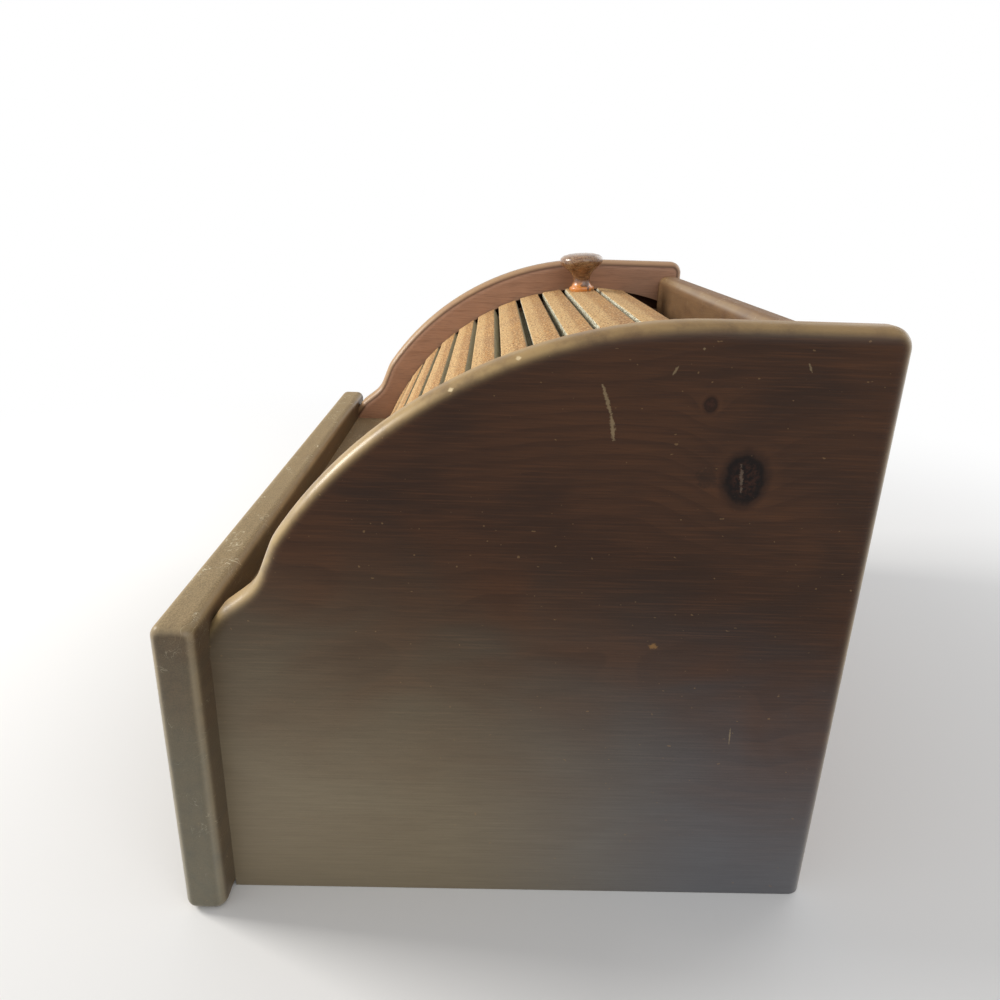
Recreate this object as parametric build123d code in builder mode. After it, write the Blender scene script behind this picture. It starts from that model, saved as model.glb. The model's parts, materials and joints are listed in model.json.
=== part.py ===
"""Wooden till with a slatted cover that slides in circular grooves.

Frame: millimetres, +Z up, the front board faces -Y, X runs along the front board.
The origin is the centre of the base at the level the box stands on.
"""
from build123d import *

import os
from math import acos, asin, atan2, cos, degrees, hypot, radians, sin, sqrt, tan

# ---------------------------------------------------------------- driving dimensions
# carcass
FRONT_WIDTH = 420.0         # length of the front board
FRONT_HEIGHT = 143.0        # height of the front board
FRONT_THICKNESS = 18.0      # front board
FRONT_OVERHANG = 15.0       # how far the front board passes each side panel
FRONT_ARRIS = 5.0           # rounding of the front board's arrises
BODY_DEPTH = 282.0          # front board's face to the back of the sides
SIDE_HEIGHT = 262.0         # side panels at their highest
SIDE_THICKNESS = 18.0       # side panels
SIDE_ROUND_OVER = 7.0       # routed round-over along the shaped edge
BACK_THICKNESS = 18.0       # back board
BACK_DROP = 11.0            # back board's top below the sides' top
BACK_ROUND_OVER = 7.0       # rounding of the back board's top edge
BOTTOM_THICKNESS = 8.0      # bottom board
BOTTOM_LIFT = 5.0           # underside of the bottom board above the base
HOUSING_DEPTH = 5.0         # grooves that hold the bottom board
HOUSING_PLAY = 0.2          # all round play of the bottom board in its grooves

# outline of a side panel; runs start at the front board's back, rises at its top
NOSE_DROP = 7.5             # toe of the shaped edge below the front board's top
NOSE_RUN = 4.2              # depth of the toe's steep start
NOSE_RISE = 6.0             # height of the toe's steep start
NOSE_RADIUS = 12.0          # rounding at the top of the toe
COVE_RUN = 18.8             # run to the bottom of the cove
COVE_RISE = 9.9             # rise to the bottom of the cove
COVE_RADIUS = 25.0          # hollow of the ogee
OGEE_RUN = 26.9             # run to where the cove meets the big round
OGEE_RISE = 30.2            # rise to where the cove meets the big round
OGEE_RADIUS = 30.0          # rounding where the cove meets the big round
TOP_CORNER_RADIUS = 8.5     # top corner at the back

# slatted cover
COVER_SET = 21.6            # path of the slats' faces inside the big round
COVER_FRONT_GAP = 14.0      # foremost point of that path to the front board
COVER_AJAR = 8.95           # how far the cover stands open at rest, in degrees
SLAT_THICKNESS = 9.0        # slats
SLAT_COUNT = 12             # narrow slats; they share the arc in front of the knob slat
LEAD_WIDTH = 22.0           # knob slat and closing slat
SLAT_GAP = 3.7              # gap between slats, at their faces
SLAT_ARRIS = 0.8            # rounding of the slats' long arrises
SLAT_END_PLAY = 1.0         # slat's shoulder to the side panel
TONGUE_THICKNESS = 6.0      # tongue at each end of a slat
TONGUE_SET = 1.5            # tongue's face below the slat's face
TONGUE_PLAY = 0.4           # tongue to groove, each side
GROOVE_DEPTH = 8.0          # depth of the circular grooves
GROOVE_RUN_ON = 0.6         # groove past the ends of the cover's travel, in degrees
TONGUE_END_PLAY = 0.7       # tongue's end to the bottom of the groove
CANVAS_THICKNESS = 0.8      # cloth that joins the slats
CANVAS_FIT = 0.05           # glue line between the cloth and the slats
CANVAS_MARGIN = 6.0         # cloth's edge to the slats' shoulders
COVER_LAP = 2.25            # lowest slat below the ledge's top when shut, in degrees
STOP_MARGIN = 0.5           # closing slat to the back board when shut
FLOOR_MARGIN = 0.8          # lowest slat to the bottom board when open

# ledge behind the front board
LEDGE_DROP = 16.0           # ledge's top below the front board's top
LEDGE_THICKNESS = 12.0      # ledge
LEDGE_BLANK = 30.0          # ledge's depth before its edge is hollowed
LEDGE_PLAY = 1.2            # ledge's hollow edge to the slats

# knob and its screw
KNOB_INSET = 22.0           # knob's axis to the left side panel
KNOB_HEAD_RADIUS = 16.5     # widest part of the head
KNOB_HEIGHT = 28.0          # knob
KNOB_BASE_RADIUS = 9.5      # flange at the foot of the knob
KNOB_NECK_RADIUS = 6.6      # narrowest part of the neck
KNOB_FLANGE = 3.5           # height of the flange
KNOB_FLANGE_STEP = 1.4      # flange's edge to the start of the neck
KNOB_NECK_HEIGHT = 8.5      # narrowest part of the neck above the slat
KNOB_CROWN = 5.0            # rise of the domed head above its widest part
KNOB_RIM_LEAN = 0.25        # the head's sides lean out by this much for each unit up
KNOB_NECK_LEAN = 0.5        # the neck starts inwards by this much for each unit up
KNOB_FLANGE_BULGE = 0.6     # rise of the flange's rounding for each unit out
SCREW_RADIUS = 2.0          # shank
SCREW_LENGTH = 20.0         # underside of the slat to the screw's tip
SCREW_HEAD_RADIUS = 4.0     # countersunk head
SCREW_FIT = 0.05            # play round the shank
SCREW_SPARE = 1.0           # spare depth past the screw's tip
SCREW_TIP = 1.2             # taper of the screw's tip

# dowels
DOWEL_RADIUS = 3.0          # all dowels
DOWEL_LENGTH = 36.0         # front and back dowels
DOWEL_SHALLOW = 11.0        # part of a dowel that sits across the grain
DOWEL_COUNT = 3             # dowels in each joint
DOWEL_INSET = 28.0          # end dowels to the ends of the joint
LEDGE_DOWEL_LENGTH = 20.0   # ledge dowels, half in each piece
LEDGE_DOWEL_SPAN = 280.0    # first to last ledge dowel
DOWEL_FIT = 0.05            # play round a dowel
DOWEL_SPARE = 1.0           # spare depth at each end of a dowel hole
DOWEL_BEVEL = 0.8           # bevel at a dowel's ends

# ---------------------------------------------------------------- worked out
FRONT_FACE = -BODY_DEPTH / 2
FRONT_BACK = FRONT_FACE + FRONT_THICKNESS
REAR_FACE = BODY_DEPTH / 2
BACK_FACE = REAR_FACE - BACK_THICKNESS
BACK_HEIGHT = SIDE_HEIGHT - BACK_DROP
SIDE_OUTER = FRONT_WIDTH / 2 - FRONT_OVERHANG
SIDE_INNER = SIDE_OUTER - SIDE_THICKNESS
BOTTOM_TOP = BOTTOM_LIFT + BOTTOM_THICKNESS
LEDGE_TOP = FRONT_HEIGHT - LEDGE_DROP
LEDGE_BOTTOM = LEDGE_TOP - LEDGE_THICKNESS

# corners of a side panel's outline, in the YZ plane
TOE = (FRONT_BACK, FRONT_HEIGHT - NOSE_DROP)
NOSE = (FRONT_BACK + NOSE_RUN, FRONT_HEIGHT - NOSE_DROP + NOSE_RISE)
COVE = (FRONT_BACK + COVE_RUN, FRONT_HEIGHT + COVE_RISE)
OGEE = (FRONT_BACK + OGEE_RUN, FRONT_HEIGHT + OGEE_RISE)

# the big round starts at the ogee and runs level into the top; the cover's path is concentric
# with it and clears the front board
OGEE_REACH = OGEE_RUN + COVER_SET - COVER_FRONT_GAP
OGEE_DROP = SIDE_HEIGHT - OGEE[1]
CURVE_RADIUS = OGEE_REACH + OGEE_DROP + sqrt(2 * OGEE_REACH * OGEE_DROP)
COVER_RADIUS = CURVE_RADIUS - COVER_SET
PIVOT_Y = FRONT_BACK + COVER_FRONT_GAP + COVER_RADIUS
PIVOT_Z = SIDE_HEIGHT - CURVE_RADIUS
CREST = (PIVOT_Y, SIDE_HEIGHT)
TOP_CORNER = (REAR_FACE, SIDE_HEIGHT)
UPRIGHT = 90.0              # polar angle of straight up in the YZ plane
SLAT_BACK_RADIUS = COVER_RADIUS - SLAT_THICKNESS
TONGUE_TOP = COVER_RADIUS - TONGUE_SET
TONGUE_BOTTOM = TONGUE_TOP - TONGUE_THICKNESS
GROOVE_OUTER = hypot(TONGUE_TOP, LEAD_WIDTH / 2) + TONGUE_PLAY
GROOVE_INNER = TONGUE_BOTTOM - TONGUE_PLAY
SHOULDER = SIDE_INNER - SLAT_END_PLAY
TONGUE_END = SIDE_INNER + GROOVE_DEPTH - TONGUE_END_PLAY
KNOB_OFFSET = KNOB_INSET - SIDE_INNER


def half_angle(width):
    """Angle from the middle of a slat's face to its long edge, in degrees."""
    return degrees(atan2(width / 2, COVER_RADIUS))


# shut, the closing slat meets the back board; at rest the cover stands ajar
LEAD_CORNER_RADIUS = hypot(COVER_RADIUS, LEAD_WIDTH / 2)
LEAD_PITCH = 2 * half_angle(LEAD_WIDTH + SLAT_GAP)
REAR_STOP_ANGLE = -degrees(asin((BACK_FACE - STOP_MARGIN - PIVOT_Y) / LEAD_CORNER_RADIUS))
REAR_EDGE_ANGLE = REAR_STOP_ANGLE + COVER_AJAR
CLOSING_ANGLE = REAR_EDGE_ANGLE + half_angle(LEAD_WIDTH)
KNOB_ANGLE = CLOSING_ANGLE + LEAD_PITCH
FIRST_GAP_ANGLE = KNOB_ANGLE + LEAD_PITCH / 2

# the narrow slats reach from the knob slat to below the ledge, also when the cover is shut
LEDGE_ANGLE = degrees(acos((LEDGE_TOP - PIVOT_Z) / COVER_RADIUS))
SLAT_PITCH = (LEDGE_ANGLE + COVER_LAP + COVER_AJAR - FIRST_GAP_ANGLE) / SLAT_COUNT
SLAT_WIDTH = 2 * COVER_RADIUS * tan(radians(SLAT_PITCH / 2)) - SLAT_GAP
SLAT_CORNER_RADIUS = hypot(COVER_RADIUS, SLAT_WIDTH / 2)
SLAT_ANGLES = [FIRST_GAP_ANGLE + SLAT_PITCH * (n + 0.5) for n in range(SLAT_COUNT)]

# open, the lowest slat nears the floor
LOW_EDGE_ANGLE = SLAT_ANGLES[-1] + half_angle(SLAT_WIDTH)
LOW_STOP_ANGLE = degrees(acos((BOTTOM_TOP + FLOOR_MARGIN - PIVOT_Z) / SLAT_CORNER_RADIUS))
OPEN_TRAVEL = LOW_STOP_ANGLE - LOW_EDGE_ANGLE


def path_point(radius, angle):
    """Point of the YZ plane at a radius and an angle from upright, towards the front."""
    return (PIVOT_Y - radius * sin(radians(angle)), PIVOT_Z + radius * cos(radians(angle)))


def radial_plane(radius, angle, x=0.0):
    """Plane that lies on a slat: local x along the slat, local z away from the pivot."""
    y, z = path_point(radius, angle)
    out = (0, -sin(radians(angle)), cos(radians(angle)))
    return Plane(origin=(x, y, z), x_dir=(1, 0, 0), z_dir=out)


def spread(low, high, count):
    """Evenly spaced places from low to high."""
    return [low + (high - low) * n / (count - 1) for n in range(count)]


FRONT_DOWEL_HEIGHTS = spread(DOWEL_INSET, FRONT_HEIGHT - DOWEL_INSET, DOWEL_COUNT)
BACK_DOWEL_HEIGHTS = spread(DOWEL_INSET, BACK_HEIGHT - DOWEL_INSET, DOWEL_COUNT)
LEDGE_DOWEL_XS = spread(-LEDGE_DOWEL_SPAN / 2, LEDGE_DOWEL_SPAN / 2, DOWEL_COUNT)
FRONT_DOWEL_X = (SIDE_INNER + GROOVE_DEPTH + SIDE_OUTER) / 2
BACK_DOWEL_Y = (BACK_FACE + REAR_FACE) / 2
LEDGE_DOWEL_Z = (LEDGE_TOP + LEDGE_BOTTOM) / 2
DOWEL_HOLE_RADIUS = DOWEL_RADIUS + DOWEL_FIT
DOWEL_DEEP = DOWEL_LENGTH - DOWEL_SHALLOW

# planes of the joints: local z points to -Y on the front joint and to +X on the side joint
FRONT_JOINT = Plane.XZ.offset(-FRONT_BACK)
SIDE_JOINT = Plane.YZ.offset(SIDE_INNER)

LOW = (Align.CENTER, Align.CENTER, Align.MIN)
HIGH = (Align.CENTER, Align.CENTER, Align.MAX)

os.makedirs("parts", exist_ok=True)


def save(part, name):
    """Label a finished piece and write it to its own file."""
    part.label = name
    export_step(part, f"parts/{name}.step")


def nearest(vertices, point):
    """The vertex of a sketch that lies at a point."""
    return vertices.sort_by_distance((*point, 0))[0]


# ---------------------------------------------------------------- side panels
GROOVE_START = REAR_STOP_ANGLE - GROOVE_RUN_ON
GROOVE_SWEEP = LOW_STOP_ANGLE + GROOVE_RUN_ON - GROOVE_START

with BuildPart() as side_panel_right:
    with BuildSketch(SIDE_JOINT) as outline:
        with BuildLine():
            Polyline((REAR_FACE, 0), (FRONT_BACK, 0), TOE, NOSE, COVE, OGEE)
            TangentArc(CREST, OGEE, tangent=(-1, 0))
            Polyline(CREST, TOP_CORNER, (REAR_FACE, 0))
        make_face()
        fillet(nearest(outline.vertices(), NOSE), NOSE_RADIUS)
        fillet(nearest(outline.vertices(), COVE), COVE_RADIUS)
        fillet(nearest(outline.vertices(), OGEE), OGEE_RADIUS)
        fillet(nearest(outline.vertices(), TOP_CORNER), TOP_CORNER_RADIUS)
    extrude(amount=SIDE_THICKNESS)

    # round-over along the toe, the ogee, the top and the back, on both faces
    across = side_panel_right.faces().sort_by(Axis.X)
    rims = across[0].edges() + across[-1].edges()
    shaped = rims.filter_by(lambda e: e.center().Y > FRONT_BACK + NOSE_RUN / 4)
    shaped = shaped.filter_by(lambda e: e.center().Z > BOTTOM_LIFT)
    fillet(shaped, SIDE_ROUND_OVER)

    # circular groove with the round ends that a router leaves
    with BuildSketch(SIDE_JOINT):
        with BuildLine(mode=Mode.PRIVATE) as groove_path:
            middle = (GROOVE_OUTER + GROOVE_INNER) / 2
            CenterArc((PIVOT_Y, PIVOT_Z), middle, UPRIGHT + GROOVE_START, GROOVE_SWEEP)
        SlotArc(groove_path.wire(), GROOVE_OUTER - GROOVE_INNER)
    extrude(amount=GROOVE_DEPTH, mode=Mode.SUBTRACT)

    # housing for the bottom board, open at the front edge and stopped at the back board
    with BuildSketch(SIDE_JOINT):
        with Locations((FRONT_BACK, BOTTOM_LIFT - HOUSING_PLAY)):
            Rectangle(
                BACK_FACE + HOUSING_DEPTH - FRONT_BACK,
                BOTTOM_THICKNESS + 2 * HOUSING_PLAY,
                align=(Align.MIN, Align.MIN),
            )
    extrude(amount=HOUSING_DEPTH, mode=Mode.SUBTRACT)

    # dowel holes: in the front edge and, behind the back board's end, in the inner face
    with Locations(FRONT_JOINT):
        with Locations([(FRONT_DOWEL_X, z) for z in FRONT_DOWEL_HEIGHTS]):
            Hole(DOWEL_HOLE_RADIUS, DOWEL_DEEP + DOWEL_SPARE)
    with Locations(SIDE_JOINT):
        with Locations([(BACK_DOWEL_Y, z) for z in BACK_DOWEL_HEIGHTS]):
            Cylinder(DOWEL_HOLE_RADIUS, DOWEL_SHALLOW + DOWEL_SPARE, align=LOW, mode=Mode.SUBTRACT)
save(side_panel_right.part, "side_panel_right")

with BuildPart() as side_panel_left:
    add(side_panel_right.part.mirror(Plane.YZ))
save(side_panel_left.part, "side_panel_left")

# ---------------------------------------------------------------- front board, ledge, back, bottom
HOUSING_HEIGHT = BOTTOM_THICKNESS + 2 * HOUSING_PLAY
HOUSING_MIDDLE = BOTTOM_LIFT + BOTTOM_THICKNESS / 2

with BuildPart() as front_board:
    with BuildSketch(FRONT_JOINT):
        with Locations((0, FRONT_HEIGHT / 2)):
            Rectangle(FRONT_WIDTH, FRONT_HEIGHT)
    extrude(amount=FRONT_THICKNESS)
    fillet(front_board.edges(), FRONT_ARRIS)
    with BuildSketch(FRONT_JOINT):
        with Locations((0, HOUSING_MIDDLE)):
            Rectangle(2 * (SIDE_INNER + HOUSING_DEPTH), HOUSING_HEIGHT)
    extrude(amount=HOUSING_DEPTH, mode=Mode.SUBTRACT)
    with Locations(FRONT_JOINT):
        with Locations([(x, z) for x in (-FRONT_DOWEL_X, FRONT_DOWEL_X) for z in FRONT_DOWEL_HEIGHTS]):
            Cylinder(DOWEL_HOLE_RADIUS, DOWEL_SHALLOW + DOWEL_SPARE, align=LOW, mode=Mode.SUBTRACT)
        with Locations([(x, LEDGE_DOWEL_Z) for x in LEDGE_DOWEL_XS]):
            Cylinder(
                DOWEL_HOLE_RADIUS, LEDGE_DOWEL_LENGTH / 2 + DOWEL_SPARE, align=LOW, mode=Mode.SUBTRACT
            )
save(front_board.part, "front_board")

# the ledge's hollow edge is parallel to the slats' path
LEDGE_CLEAR_RADIUS = LEAD_CORNER_RADIUS + LEDGE_PLAY

with BuildPart() as front_ledge:
    with BuildSketch(Plane.YZ.offset(-SIDE_INNER)):
        with Locations((FRONT_BACK, LEDGE_BOTTOM)):
            Rectangle(LEDGE_BLANK, LEDGE_THICKNESS, align=(Align.MIN, Align.MIN))
        with Locations((PIVOT_Y, PIVOT_Z)):
            Circle(LEDGE_CLEAR_RADIUS, mode=Mode.SUBTRACT)
    extrude(amount=2 * SIDE_INNER)
    with Locations(FRONT_JOINT):
        with Locations([(x, LEDGE_DOWEL_Z) for x in LEDGE_DOWEL_XS]):
            Hole(DOWEL_HOLE_RADIUS, LEDGE_DOWEL_LENGTH / 2 + DOWEL_SPARE)
save(front_ledge.part, "front_ledge")

with BuildPart() as back_board:
    with BuildSketch(Plane.YZ.offset(-SIDE_INNER)) as back_outline:
        with Locations((BACK_FACE, 0)):
            Rectangle(BACK_THICKNESS, BACK_HEIGHT, align=(Align.MIN, Align.MIN))
        fillet(back_outline.vertices().group_by(Axis.Y)[-1], BACK_ROUND_OVER)
        with Locations((BACK_FACE, HOUSING_MIDDLE)):
            Rectangle(2 * HOUSING_DEPTH, HOUSING_HEIGHT, mode=Mode.SUBTRACT)
    extrude(amount=2 * SIDE_INNER)
    for end in (-SIDE_INNER, SIDE_INNER):
        with Locations(Plane.YZ.offset(end)):
            with Locations([(BACK_DOWEL_Y, z) for z in BACK_DOWEL_HEIGHTS]):
                Cylinder(DOWEL_HOLE_RADIUS, 2 * (DOWEL_DEEP + DOWEL_SPARE), mode=Mode.SUBTRACT)
save(back_board.part, "back_board")

with BuildPart() as bottom_board:
    with BuildSketch(Plane.XY.offset(BOTTOM_LIFT)):
        with Locations((0, (FRONT_BACK + BACK_FACE) / 2)):
            Rectangle(
                2 * (SIDE_INNER + HOUSING_DEPTH - HOUSING_PLAY),
                BACK_FACE - FRONT_BACK + 2 * (HOUSING_DEPTH - HOUSING_PLAY),
            )
    extrude(amount=BOTTOM_THICKNESS)
save(bottom_board.part, "bottom_board")

# ---------------------------------------------------------------- dowels
with BuildPart() as front_dowels:
    with Locations(FRONT_JOINT.offset(DOWEL_SHALLOW)):
        with Locations([(x, z) for x in (-FRONT_DOWEL_X, FRONT_DOWEL_X) for z in FRONT_DOWEL_HEIGHTS]):
            Cylinder(DOWEL_RADIUS, DOWEL_LENGTH, align=HIGH)
    chamfer(front_dowels.edges().filter_by(GeomType.CIRCLE), DOWEL_BEVEL)
save(front_dowels.part, "front_dowels")

with BuildPart() as back_dowels:
    with Locations(SIDE_JOINT.offset(DOWEL_SHALLOW)):
        with Locations([(BACK_DOWEL_Y, z) for z in BACK_DOWEL_HEIGHTS]):
            Cylinder(DOWEL_RADIUS, DOWEL_LENGTH, align=HIGH)
    chamfer(back_dowels.edges().filter_by(GeomType.CIRCLE), DOWEL_BEVEL)
    mirror(about=Plane.YZ)
save(back_dowels.part, "back_dowels")

with BuildPart() as ledge_dowels:
    with Locations(FRONT_JOINT):
        with Locations([(x, LEDGE_DOWEL_Z) for x in LEDGE_DOWEL_XS]):
            Cylinder(DOWEL_RADIUS, LEDGE_DOWEL_LENGTH)
    chamfer(ledge_dowels.edges().filter_by(GeomType.CIRCLE), DOWEL_BEVEL)
save(ledge_dowels.part, "ledge_dowels")

# ---------------------------------------------------------------- slatted cover


def slat(angle, width):
    """One slat: a flat strip with eased arrises and a thinner tongue at each end."""
    face = radial_plane(COVER_RADIUS, angle)
    with BuildPart(face) as piece:
        Box(2 * SHOULDER, width, SLAT_THICKNESS, align=HIGH)
        top = piece.faces().sort_by(Axis(face.origin, face.z_dir))[-1]
        fillet(top.edges().filter_by(Axis.X), SLAT_ARRIS)
        with Locations((0, 0, -TONGUE_SET)):
            Box(2 * TONGUE_END, width, TONGUE_THICKNESS, align=HIGH)
    return piece.part


for number, angle in enumerate(reversed(SLAT_ANGLES), start=1):
    save(slat(angle, SLAT_WIDTH), f"slat_{number:02d}")
save(slat(CLOSING_ANGLE, LEAD_WIDTH), "closing_slat")

# the knob slat has a countersunk hole for the knob's screw
KNOB_SEAT = radial_plane(COVER_RADIUS, KNOB_ANGLE, KNOB_OFFSET)
KNOB_SLAT_BACK = radial_plane(SLAT_BACK_RADIUS, KNOB_ANGLE, KNOB_OFFSET)
SCREW_HOLE_RADIUS = SCREW_RADIUS + SCREW_FIT
SINK_HEIGHT = SCREW_HEAD_RADIUS - SCREW_RADIUS

with BuildPart() as knob_slat:
    add(slat(KNOB_ANGLE, LEAD_WIDTH))
    with Locations(KNOB_SLAT_BACK):
        Cylinder(SCREW_HOLE_RADIUS, SLAT_THICKNESS, align=LOW, mode=Mode.SUBTRACT)
        Cone(
            SCREW_HEAD_RADIUS + SCREW_FIT, SCREW_HOLE_RADIUS, SINK_HEIGHT, align=LOW, mode=Mode.SUBTRACT
        )
save(knob_slat.part, "knob_slat")

with BuildPart() as tambour_canvas:
    with BuildSketch(Plane.YZ.offset(CANVAS_MARGIN - SHOULDER)):
        with BuildLine():
            outer_radius = SLAT_BACK_RADIUS - CANVAS_FIT
            inner_radius = outer_radius - CANVAS_THICKNESS
            sweep_angle = LOW_EDGE_ANGLE - REAR_EDGE_ANGLE
            CenterArc((PIVOT_Y, PIVOT_Z), outer_radius, UPRIGHT + REAR_EDGE_ANGLE, sweep_angle)
            CenterArc((PIVOT_Y, PIVOT_Z), inner_radius, UPRIGHT + REAR_EDGE_ANGLE, sweep_angle)
            for end in (REAR_EDGE_ANGLE, LOW_EDGE_ANGLE):
                Line(path_point(outer_radius, end), path_point(inner_radius, end))
        make_face()
    extrude(amount=2 * (SHOULDER - CANVAS_MARGIN))
save(tambour_canvas.part, "tambour_canvas")

# ---------------------------------------------------------------- knob and screw
# plane through the knob's axis: local x is the radius, local y the height above the slat
KNOB_SECTION = Plane(origin=KNOB_SEAT.origin, x_dir=(1, 0, 0), z_dir=-KNOB_SEAT.y_dir)
KNOB_AXIS = Axis(KNOB_SEAT.origin, KNOB_SEAT.z_dir)

with BuildPart() as knob:
    with BuildSketch(KNOB_SECTION):
        with BuildLine():
            foot = Line((0, 0), (KNOB_BASE_RADIUS, 0))
            flange_top = (KNOB_BASE_RADIUS - KNOB_FLANGE_STEP, KNOB_FLANGE)
            TangentArc(foot @ 1, flange_top, tangent=(1, KNOB_FLANGE_BULGE))
            rim = (KNOB_HEAD_RADIUS, KNOB_HEIGHT - KNOB_CROWN)
            neck = (KNOB_NECK_RADIUS, KNOB_NECK_HEIGHT)
            Spline(flange_top, neck, rim, tangents=[(-KNOB_NECK_LEAN, 1), (KNOB_RIM_LEAN, 1)])
            Spline(rim, (0, KNOB_HEIGHT), tangents=[(-KNOB_RIM_LEAN, 1), (-1, 0)])
            Line((0, KNOB_HEIGHT), (0, 0))
        make_face()
    revolve(axis=KNOB_AXIS)
    with Locations(KNOB_SEAT):
        Cylinder(
            SCREW_HOLE_RADIUS,
            SCREW_LENGTH - SLAT_THICKNESS + SCREW_SPARE,
            align=LOW,
            mode=Mode.SUBTRACT,
        )
save(knob.part, "knob")

with BuildPart() as knob_screw:
    with Locations(KNOB_SLAT_BACK):
        Cylinder(SCREW_RADIUS, SCREW_LENGTH, align=LOW)
        Cone(SCREW_HEAD_RADIUS, SCREW_RADIUS, SINK_HEIGHT, align=LOW)
    tip = knob_screw.faces().sort_by(KNOB_AXIS)[-1]
    chamfer(tip.edges(), SCREW_TIP)
save(knob_screw.part, "knob_screw")

print(f"cover pivot: y {PIVOT_Y:.3f}, z {PIVOT_Z:.3f}; travel {-COVER_AJAR:.2f} to {OPEN_TRAVEL:.2f} degrees")
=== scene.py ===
"""Looks of a wooden till whose slatted cover slides in circular grooves.

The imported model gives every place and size. Meshes are in metres, finishes work in millimetres.
"""
import json
import logging
import math
import random
from dataclasses import dataclass, field
from enum import Enum

import bmesh
import bpy
from mathutils import Matrix, Vector


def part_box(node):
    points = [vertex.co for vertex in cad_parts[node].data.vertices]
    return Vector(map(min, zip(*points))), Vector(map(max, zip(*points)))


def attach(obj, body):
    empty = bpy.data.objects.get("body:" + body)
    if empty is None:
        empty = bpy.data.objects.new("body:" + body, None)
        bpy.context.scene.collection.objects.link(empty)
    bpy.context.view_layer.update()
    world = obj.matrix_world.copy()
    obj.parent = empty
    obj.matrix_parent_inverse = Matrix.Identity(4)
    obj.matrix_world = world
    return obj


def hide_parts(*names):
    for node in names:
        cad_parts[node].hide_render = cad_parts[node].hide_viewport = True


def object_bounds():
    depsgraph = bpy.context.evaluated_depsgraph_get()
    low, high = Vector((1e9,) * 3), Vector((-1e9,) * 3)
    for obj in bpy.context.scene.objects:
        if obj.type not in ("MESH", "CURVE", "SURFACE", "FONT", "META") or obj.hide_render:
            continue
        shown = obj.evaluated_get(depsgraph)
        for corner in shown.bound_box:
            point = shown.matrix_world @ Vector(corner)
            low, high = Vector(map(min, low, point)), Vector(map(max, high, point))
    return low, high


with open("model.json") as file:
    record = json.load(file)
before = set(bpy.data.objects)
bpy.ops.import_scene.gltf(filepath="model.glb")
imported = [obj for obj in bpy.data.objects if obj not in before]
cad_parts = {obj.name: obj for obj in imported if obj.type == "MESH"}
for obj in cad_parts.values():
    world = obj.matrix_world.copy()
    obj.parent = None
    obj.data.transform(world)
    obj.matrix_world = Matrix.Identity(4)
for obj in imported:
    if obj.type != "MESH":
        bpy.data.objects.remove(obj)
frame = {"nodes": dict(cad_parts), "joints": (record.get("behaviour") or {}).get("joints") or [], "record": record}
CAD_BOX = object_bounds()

LOG = logging.getLogger("till")
MM = 0.001                              # one millimetre in metres
PER_METRE = 1000.0                      # millimetres in a metre
INNER_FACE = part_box("front_ledge")[1].x * PER_METRE     # a side panel's inner face, from the middle
HALF = 0.5                              # middle value of a noise
SCREEN_WHITE = 255                      # a Tone's brightest part
WHITE = (1.0, 1.0, 1.0, 1.0)
GRAIN_PLACE = "grain_place"             # a point's place in its own board, in millimetres
EDGE_DISTANCE = "edge_distance"         # millimetres to the nearest long edge of a slat
CLOTH_MAP = "cloth"
SAME_PLACE = 0.001 * MM                 # points closer than this are merged
LEVEL = 0.01 * MM                       # heights closer than this are one height


# ---------------------------------------------------------------- colours and shader maths
@dataclass(frozen=True)
class Tone:
    """A colour as it looks on a screen, each part from 0 to 255."""

    red: int
    green: int
    blue: int

    @staticmethod
    def _decoded(part: float) -> float:
        """One part from 0 to 1 by the sRGB curve, whose numbers these are."""
        return part / 12.92 if part <= 0.04045 else ((part + 0.055) / 1.055) ** 2.4

    def linear(self) -> tuple[float, float, float, float]:
        """The colour as a shader takes it."""
        parts = (self.red, self.green, self.blue)
        red, green, blue = (self._decoded(part / SCREEN_WHITE) for part in parts)
        return (red, green, blue, 1.0)


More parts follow.
